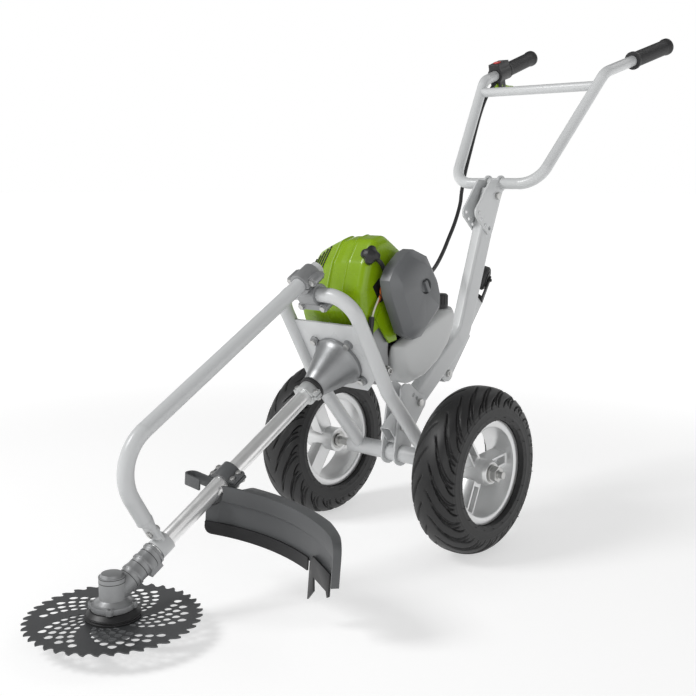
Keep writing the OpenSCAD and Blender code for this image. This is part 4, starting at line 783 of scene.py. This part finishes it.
def guardPiece():
    obj = guardBlank()
    radius, reach = guard["clamp"] / 1000, guard["drill"]
    centre = enginePoint(0, guard["clampAt"] / 1000 - shaft["plate"], 0)
    drill = turned("guardDrill", ((-reach, radius), (reach, radius)), centre, shaftAxis, "grey", "chassis",
                   around=guard["drillAround"])
    hole = obj.modifiers.new("hole", "BOOLEAN")
    hole.operation = "DIFFERENCE"
    hole.object = drill
    bevel = obj.modifiers.new("edges", "BEVEL")
    bevel.width = guard["edge"]
    bevel.segments = 2
    bevel.limit_method = "ANGLE"
    bevel.angle_limit = math.radians(guard["edgeAngle"])
    mesh = finalMesh(obj)
    bpy.data.objects.remove(drill)
    piece = linkNew("guardWall", mesh)
    smoothByAngle(piece, guard["shade"])
    return place(piece, "grey", "chassis", "debris_guard")


guardPiece()
print("guard done")


# Grips: smooth rubber sleeves with a collar, fine rings and a flared end

grip = {"end": (0.1673, 1.3343, 0.9262), "way": (0.096, 0.952, 0.291), "length": 0.132, "bore": 0.0125,
        "collar": 0.0184, "body": 0.0157, "ring": 0.0003, "pitch": 0.004, "ringFrom": 0.012,
        "ringHalf": 0.0008, "flare": 0.0174, "tip": 0.0058, "around": 48}


def gripProfile():
    collar, body, flare, end = grip["collar"], grip["body"], grip["flare"], grip["length"]
    rows = [(0.0, grip["bore"]), (0.0, collar - 0.001), (0.001, collar), (0.0055, collar),
            (0.0068, collar - 0.001), (0.0075, body)]
    for k in range(int((end - 0.022) / grip["pitch"])):
        z = grip["ringFrom"] + grip["pitch"] * k
        rows += [(z, body), (z + grip["ringHalf"], body - grip["ring"]), (z + 2 * grip["ringHalf"], body)]
    tip = end + grip["tip"]
    return rows + [(end - 0.008, body), (end - 0.005, flare), (end + 0.001, flare),
                   (end + 0.0035, flare - 0.002), (tip, 0.011), (tip, 0.0045), (tip - 0.0012, 0.004)]


for side, sign in sides:
    mirror = Matrix.Diagonal((sign, 1, 1))
    way = (mirror @ Vector(grip["way"])).normalized()
    start = mirror @ Vector(grip["end"]) - grip["length"] * way
    sleeve = turned(side + "GripSleeve", gripProfile(), start, way, "grip", "handle", around=grip["around"])
    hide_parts(side + "_grip")
print("grips done")


# Tyre valves: a rubber stem bent towards the outside, with its cap

valve = {"foot": (0, -0.0868, -0.006), "reach": 0.021, "lean": 0.012, "stem": 0.0045, "cap": 0.0052,
         "around": 24}
valveProfile = ((0.0, valve["stem"] + 0.002), (0.003, valve["stem"] + 0.0015), (0.006, valve["stem"]),
                (0.013, valve["stem"] - 0.0006), (0.013, valve["cap"]), (0.0215, valve["cap"] - 0.0006),
                (0.0225, valve["cap"] - 0.0018))
for side, sign in sides:
    foot = Vector(wheelPlace[side]) + Vector(valve["foot"])
    way = Vector((sign * valve["lean"], valve["reach"], 0)).normalized()
    turned(side + "ValveStem", valveProfile, foot, way, "black", side + "_wheel", around=valve["around"])
print("valves done")


# Clutch housing: a smooth hollow bell on four bosses, in millimetres

bell = {"profile": ((-77, 14), (-77, 20), (-75.5, 21.5), (-60, 26.5), (-45, 32), (-30, 37), (-18, 41),
                    (-10, 44.5), (-8, 47), (-3, 47.5), (-2.2, 46.5), (-2.2, 43), (-10, 41), (-30, 34),
                    (-60, 23.5), (-74, 18), (-75, 14)),
        "around": 72, "boss": ((-8, 7.2), (-7.5, 8.2), (-2, 9.2)), "bossAround": 28,
        "bolts": ((-38, 0, -38), (38, 0, -38), (38, 0, 38), (-38, 0, 38))}
bellPiece = turned("clutchBell", metres(bell["profile"]), enginePoint(0, 0, 0), shaftAxis, "bell", "chassis",
                   around=bell["around"], hollow=True)
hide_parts("clutch_housing")
for k, at in enumerate(enginePoints(bell["bolts"])):
    turned("bellBoss%d" % k, metres(bell["boss"]), at, shaftAxis, "bell", "chassis",
           around=bell["bossAround"])
print("bell done")


# Gear head: fine parting lines round the head and the neck, each a thin near-black ring that paints the shade
# inside the groove

lines = {"head": 0.0192, "headAt": (0.0835, 0.0905), "neck": 0.0172, "neckAt": (0.0335, 0.0545, 0.0765),
         "width": 0.0009, "sunk": 0.001, "around": 64}


def partingLine(name, radius, at, axis):
    half, inner = lines["width"] / 2, radius - lines["sunk"]
    profile = ((-half, inner), (-half, radius), (half, radius), (half, inner))
    turned(name, profile, at, axis, "knifeAndGrooveShade", "chassis", around=lines["around"], hollow=True)


for k, z in enumerate(lines["headAt"]):
    partingLine("headLine%d" % k, lines["head"], (0, 0, z), (0, 0, 1))
for k, t in enumerate(lines["neckAt"]):
    partingLine("neckLine%d" % k, lines["neck"], enginePoint(0, t - shaft["plate"], 0), shaftAxis)
print("gear head lines done")


# Repeated small things, each laid out by a node tree that is turned into a plain mesh

def layoutTree(name, sockets):
    shape = ("Geometry", "NodeSocketGeometry")
    inputs = [(*shape, None)] + sockets + [("Material", "NodeSocketMaterial", None)]
    return newTree(name, "GeometryNodeTree", inputs, [shape])


def coated(tree, enter, leave, spread):
    real = addNode(tree, "GeometryNodeRealizeInstances")
    coat = addNode(tree, "GeometryNodeSetMaterial")
    wire(tree, (spread, "Instances", real, "Geometry"), (real, "Geometry", coat, "Geometry"),
         (enter, "Material", coat, "Material"), (coat, "Geometry", leave, "Geometry"))


def hairTree():
    tree, enter, leave = layoutTree("ventHairs", [
        ("Count", "NodeSocketInt", 20), ("Ring Radius", "NodeSocketFloat", 0.1),
        ("Length", "NodeSocketFloat", 0.004), ("Thickness", "NodeSocketFloat", 0.001),
        ("Seed", "NodeSocketInt", 3)])
    ring = addNode(tree, "GeometryNodeMeshCircle")
    rod = addNode(tree, "GeometryNodeMeshCylinder", {"Vertices": 7})
    half = addNode(tree, "ShaderNodeMath", {1: 0.5}, operation="MULTIPLY")
    chance = addNode(tree, "FunctionNodeRandomValue", {2: 0.55, 3: 1.25}, data_type="FLOAT")
    spread = addNode(tree, "GeometryNodeInstanceOnPoints")
    wire(tree, (enter, "Count", ring, "Vertices"), (enter, "Ring Radius", ring, "Radius"),
         (enter, "Thickness", half, 0), (half, 0, rod, "Radius"), (enter, "Length", rod, "Depth"),
         (enter, "Seed", chance, "Seed"), (chance, 1, spread, "Scale"), (ring, "Mesh", spread, "Points"),
         (rod, "Mesh", spread, "Instance"))
    coated(tree, enter, leave, spread)
    return tree


def screwTree():
    tree, enter, leave = layoutTree("socketScrews", [
        ("Head Diameter", "NodeSocketFloat", 0.01), ("Head Height", "NodeSocketFloat", 0.006),
        ("Socket", "NodeSocketFloat", 0.6), ("Turn", "NodeSocketVector", (0, 0, 0))])
    head = addNode(tree, "GeometryNodeMeshCylinder", {"Vertices": 24})
    rim = addNode(tree, "GeometryNodeExtrudeMesh", {"Offset Scale": 0.0})
    shrink = addNode(tree, "GeometryNodeScaleElements")
    sink = addNode(tree, "GeometryNodeExtrudeMesh")
    half = addNode(tree, "ShaderNodeMath", {1: 0.5}, operation="MULTIPLY")
    deep = addNode(tree, "ShaderNodeMath", {1: -0.55}, operation="MULTIPLY")
    spread = addNode(tree, "GeometryNodeInstanceOnPoints")
    wire(tree, (enter, "Head Diameter", half, 0), (half, 0, head, "Radius"),
         (enter, "Head Height", head, "Depth"), (enter, "Head Height", deep, 0), (head, "Mesh", rim, "Mesh"),
         (head, "Top", rim, "Selection"), (rim, "Mesh", shrink, "Geometry"),
         (rim, "Top", shrink, "Selection"), (enter, "Socket", shrink, "Scale"),
         (shrink, "Geometry", sink, "Mesh"), (rim, "Top", sink, "Selection"), (deep, 0, sink, "Offset Scale"),
         (enter, "Geometry", spread, "Points"), (sink, "Mesh", spread, "Instance"),
         (enter, "Turn", spread, "Rotation"))
    coated(tree, enter, leave, spread)
    return tree


def laidOut(name, tree, points, values, look, body, after=None):
    obj = meshObject(name + "Points", points, [], smooth=False)
    layer = obj.modifiers.new("layout", "NODES")
    layer.node_group = tree
    values = {**values, "Material": looks[look]}
    for item in tree.interface.items_tree:
        if item.in_out == "INPUT" and item.name in values:
            layer[item.identifier] = values[item.name]
    bpy.context.view_layer.update()
    piece = linkNew(name, finalMesh(obj))
    if after is not None:
        piece.data.transform(after)
    smoothByAngle(piece)
    return place(piece, look, body)


hairs = hairTree()
screws = screwTree()
# Each ring of hairs has its radius, its distance from the tyre's middle and its count
hairRings = {"length": 0.005, "thickness": 0.0011, "seed": 3,
             "rings": ((0.0985, 0.0418, 22), (0.127, 0.0385, 18))}
sideWays = Matrix.Rotation(math.radians(90), 4, "Y")
for side, sign in sides:
    for k, (radius, wide, count) in enumerate(hairRings["rings"]):
        values = {"Count": count, "Ring Radius": radius, "Length": hairRings["length"],
                  "Thickness": hairRings["thickness"], "Seed": hairRings["seed"] + k}
        for label, end in (("In", -1), ("Out", 1)):
            centre = Vector(wheelPlace[side]) + Vector((end * wide, 0, 0))
            laidOut("%sHairs%d%s" % (side, k, label), hairs, [(0, 0, 0)], values, "tyre", side + "_wheel",
                    Matrix.Translation(centre) @ sideWays)
screwRows = {
    "shroudScrews": (((-22, 27.4, 52), (34, 27.4, 54)),
                     {"Head Diameter": 0.0095, "Head Height": 0.005, "Socket": 0.55,
                      "Turn": (math.radians(90 + shaft["tilt"]), 0, 0)}),
    "coverScrews": (((56.5, 24, 36), (56.5, 88, 12), (56.5, 64, 38)),
                    {"Head Diameter": 0.009, "Head Height": 0.006, "Socket": 0.6,
                     "Turn": (0, math.radians(90), 0)}),
}
for name, (points, values) in screwRows.items():
    laidOut(name, screws, enginePoints(points), values, "zinc", "chassis")
print("hairs and screws done")


# Floor, light and camera

studio = {"floorSize": 40.0, "floorLow": -0.0004, "floorColor": 0.6, "floorRough": 0.9, "aim": (0, 0.6, 0.4),
          "floorGlow": {"From Min": 1.2, "From Max": 3.2, "To Min": 0.54, "To Max": 0.9},
          "sky": {"From Min": 0.17, "From Max": 0.36, "To Min": 1.0, "To Max": 0.22},
          "lamps": (("keyLight", (-1.6, -2.2, 3.0), 1.3, 95.0), ("fillLight", (2.6, -1.0, 1.4), 2.0, 12.0),
                    ("backLight", (0.4, 3.0, 2.6), 1.6, 9.0))}
camera = {"place": (1.2008, -0.8433, 0.6497), "azimuth": 41.68, "elevation": 9.14, "focal": 1053.57,
          "pixels": 696, "sensor": 36.0}


def paleFloor():
    half, low = studio["floorSize"], studio["floorLow"]
    corners = [(-half, -half, low), (half, -half, low), (half, half, low), (-half, half, low)]
    floor = meshObject("floor", corners, [(0, 1, 2, 3)])
    mat = bpy.data.materials.new("floorPale")
    mat.use_nodes = True
    tree = mat.node_tree
    shader = tree.nodes["Principled BSDF"]
    setSockets(shader, {"Base Color": (*[studio["floorColor"]] * 3, 1), "Roughness": studio["floorRough"],
                        "Specular IOR Level": 0.0, "Emission Color": (1, 1, 1, 1)})
    spot = addNode(tree, "ShaderNodeTexCoord")
    far = addNode(tree, "ShaderNodeVectorMath", operation="LENGTH")
    fade = addNode(tree, "ShaderNodeMapRange", studio["floorGlow"], interpolation_type="SMOOTHSTEP")
    wire(tree, (spot, "Object", far, 0), (far, "Value", fade, "Value"),
         (fade, "Result", shader, "Emission Strength"))
    mat.cycles.emission_sampling = "NONE"  # the lamps and the sky are sampled, the floor only glows
    floor.data.materials.append(mat)


def skyAndLamps():
    world = bpy.data.worlds.new("studio")
    scene.world = world
    world.use_nodes = True
    tree = world.node_tree
    coord = addNode(tree, "ShaderNodeTexCoord")
    parts = addNode(tree, "ShaderNodeSeparateXYZ")
    glow = addNode(tree, "ShaderNodeMapRange", studio["sky"])
    back = tree.nodes["Background"]
    setSockets(back, {"Color": (1, 1, 1, 1)})
    wire(tree, (coord, "Generated", parts, 0), (parts, "Z", glow, "Value"),
         (glow, "Result", back, "Strength"))
    for name, at, size, watts in studio["lamps"]:
        lamp = bpy.data.lights.new(name, "AREA")
        lamp.size = size
        lamp.energy = watts
        obj = linkNew(name, lamp)
        obj.location = at
        aim = Vector(studio["aim"]) - Vector(at)
        obj.rotation_euler = aim.to_track_quat("-Z", "Y").to_euler()


def photoCamera():
    cam = bpy.data.cameras.new("photoCamera")
    cam.sensor_width = camera["sensor"]
    cam.lens = camera["sensor"] * camera["focal"] / camera["pixels"]
    obj = linkNew("photoCamera", cam)
    a, e = math.radians(camera["azimuth"]), math.radians(camera["elevation"])
    back = Vector((math.sin(a) * math.cos(e), -math.cos(a) * math.cos(e), math.sin(e)))
    right = Vector((*polar(1, a), 0))
    turn = Matrix((right, back.cross(right), back)).transposed().to_4x4()
    obj.matrix_world = Matrix.Translation(Vector(camera["place"])) @ turn
    scene.camera = obj
    scene.view_settings.view_transform = "Standard"


paleFloor()
skyAndLamps()
photoCamera()
print("floor, light and camera done")
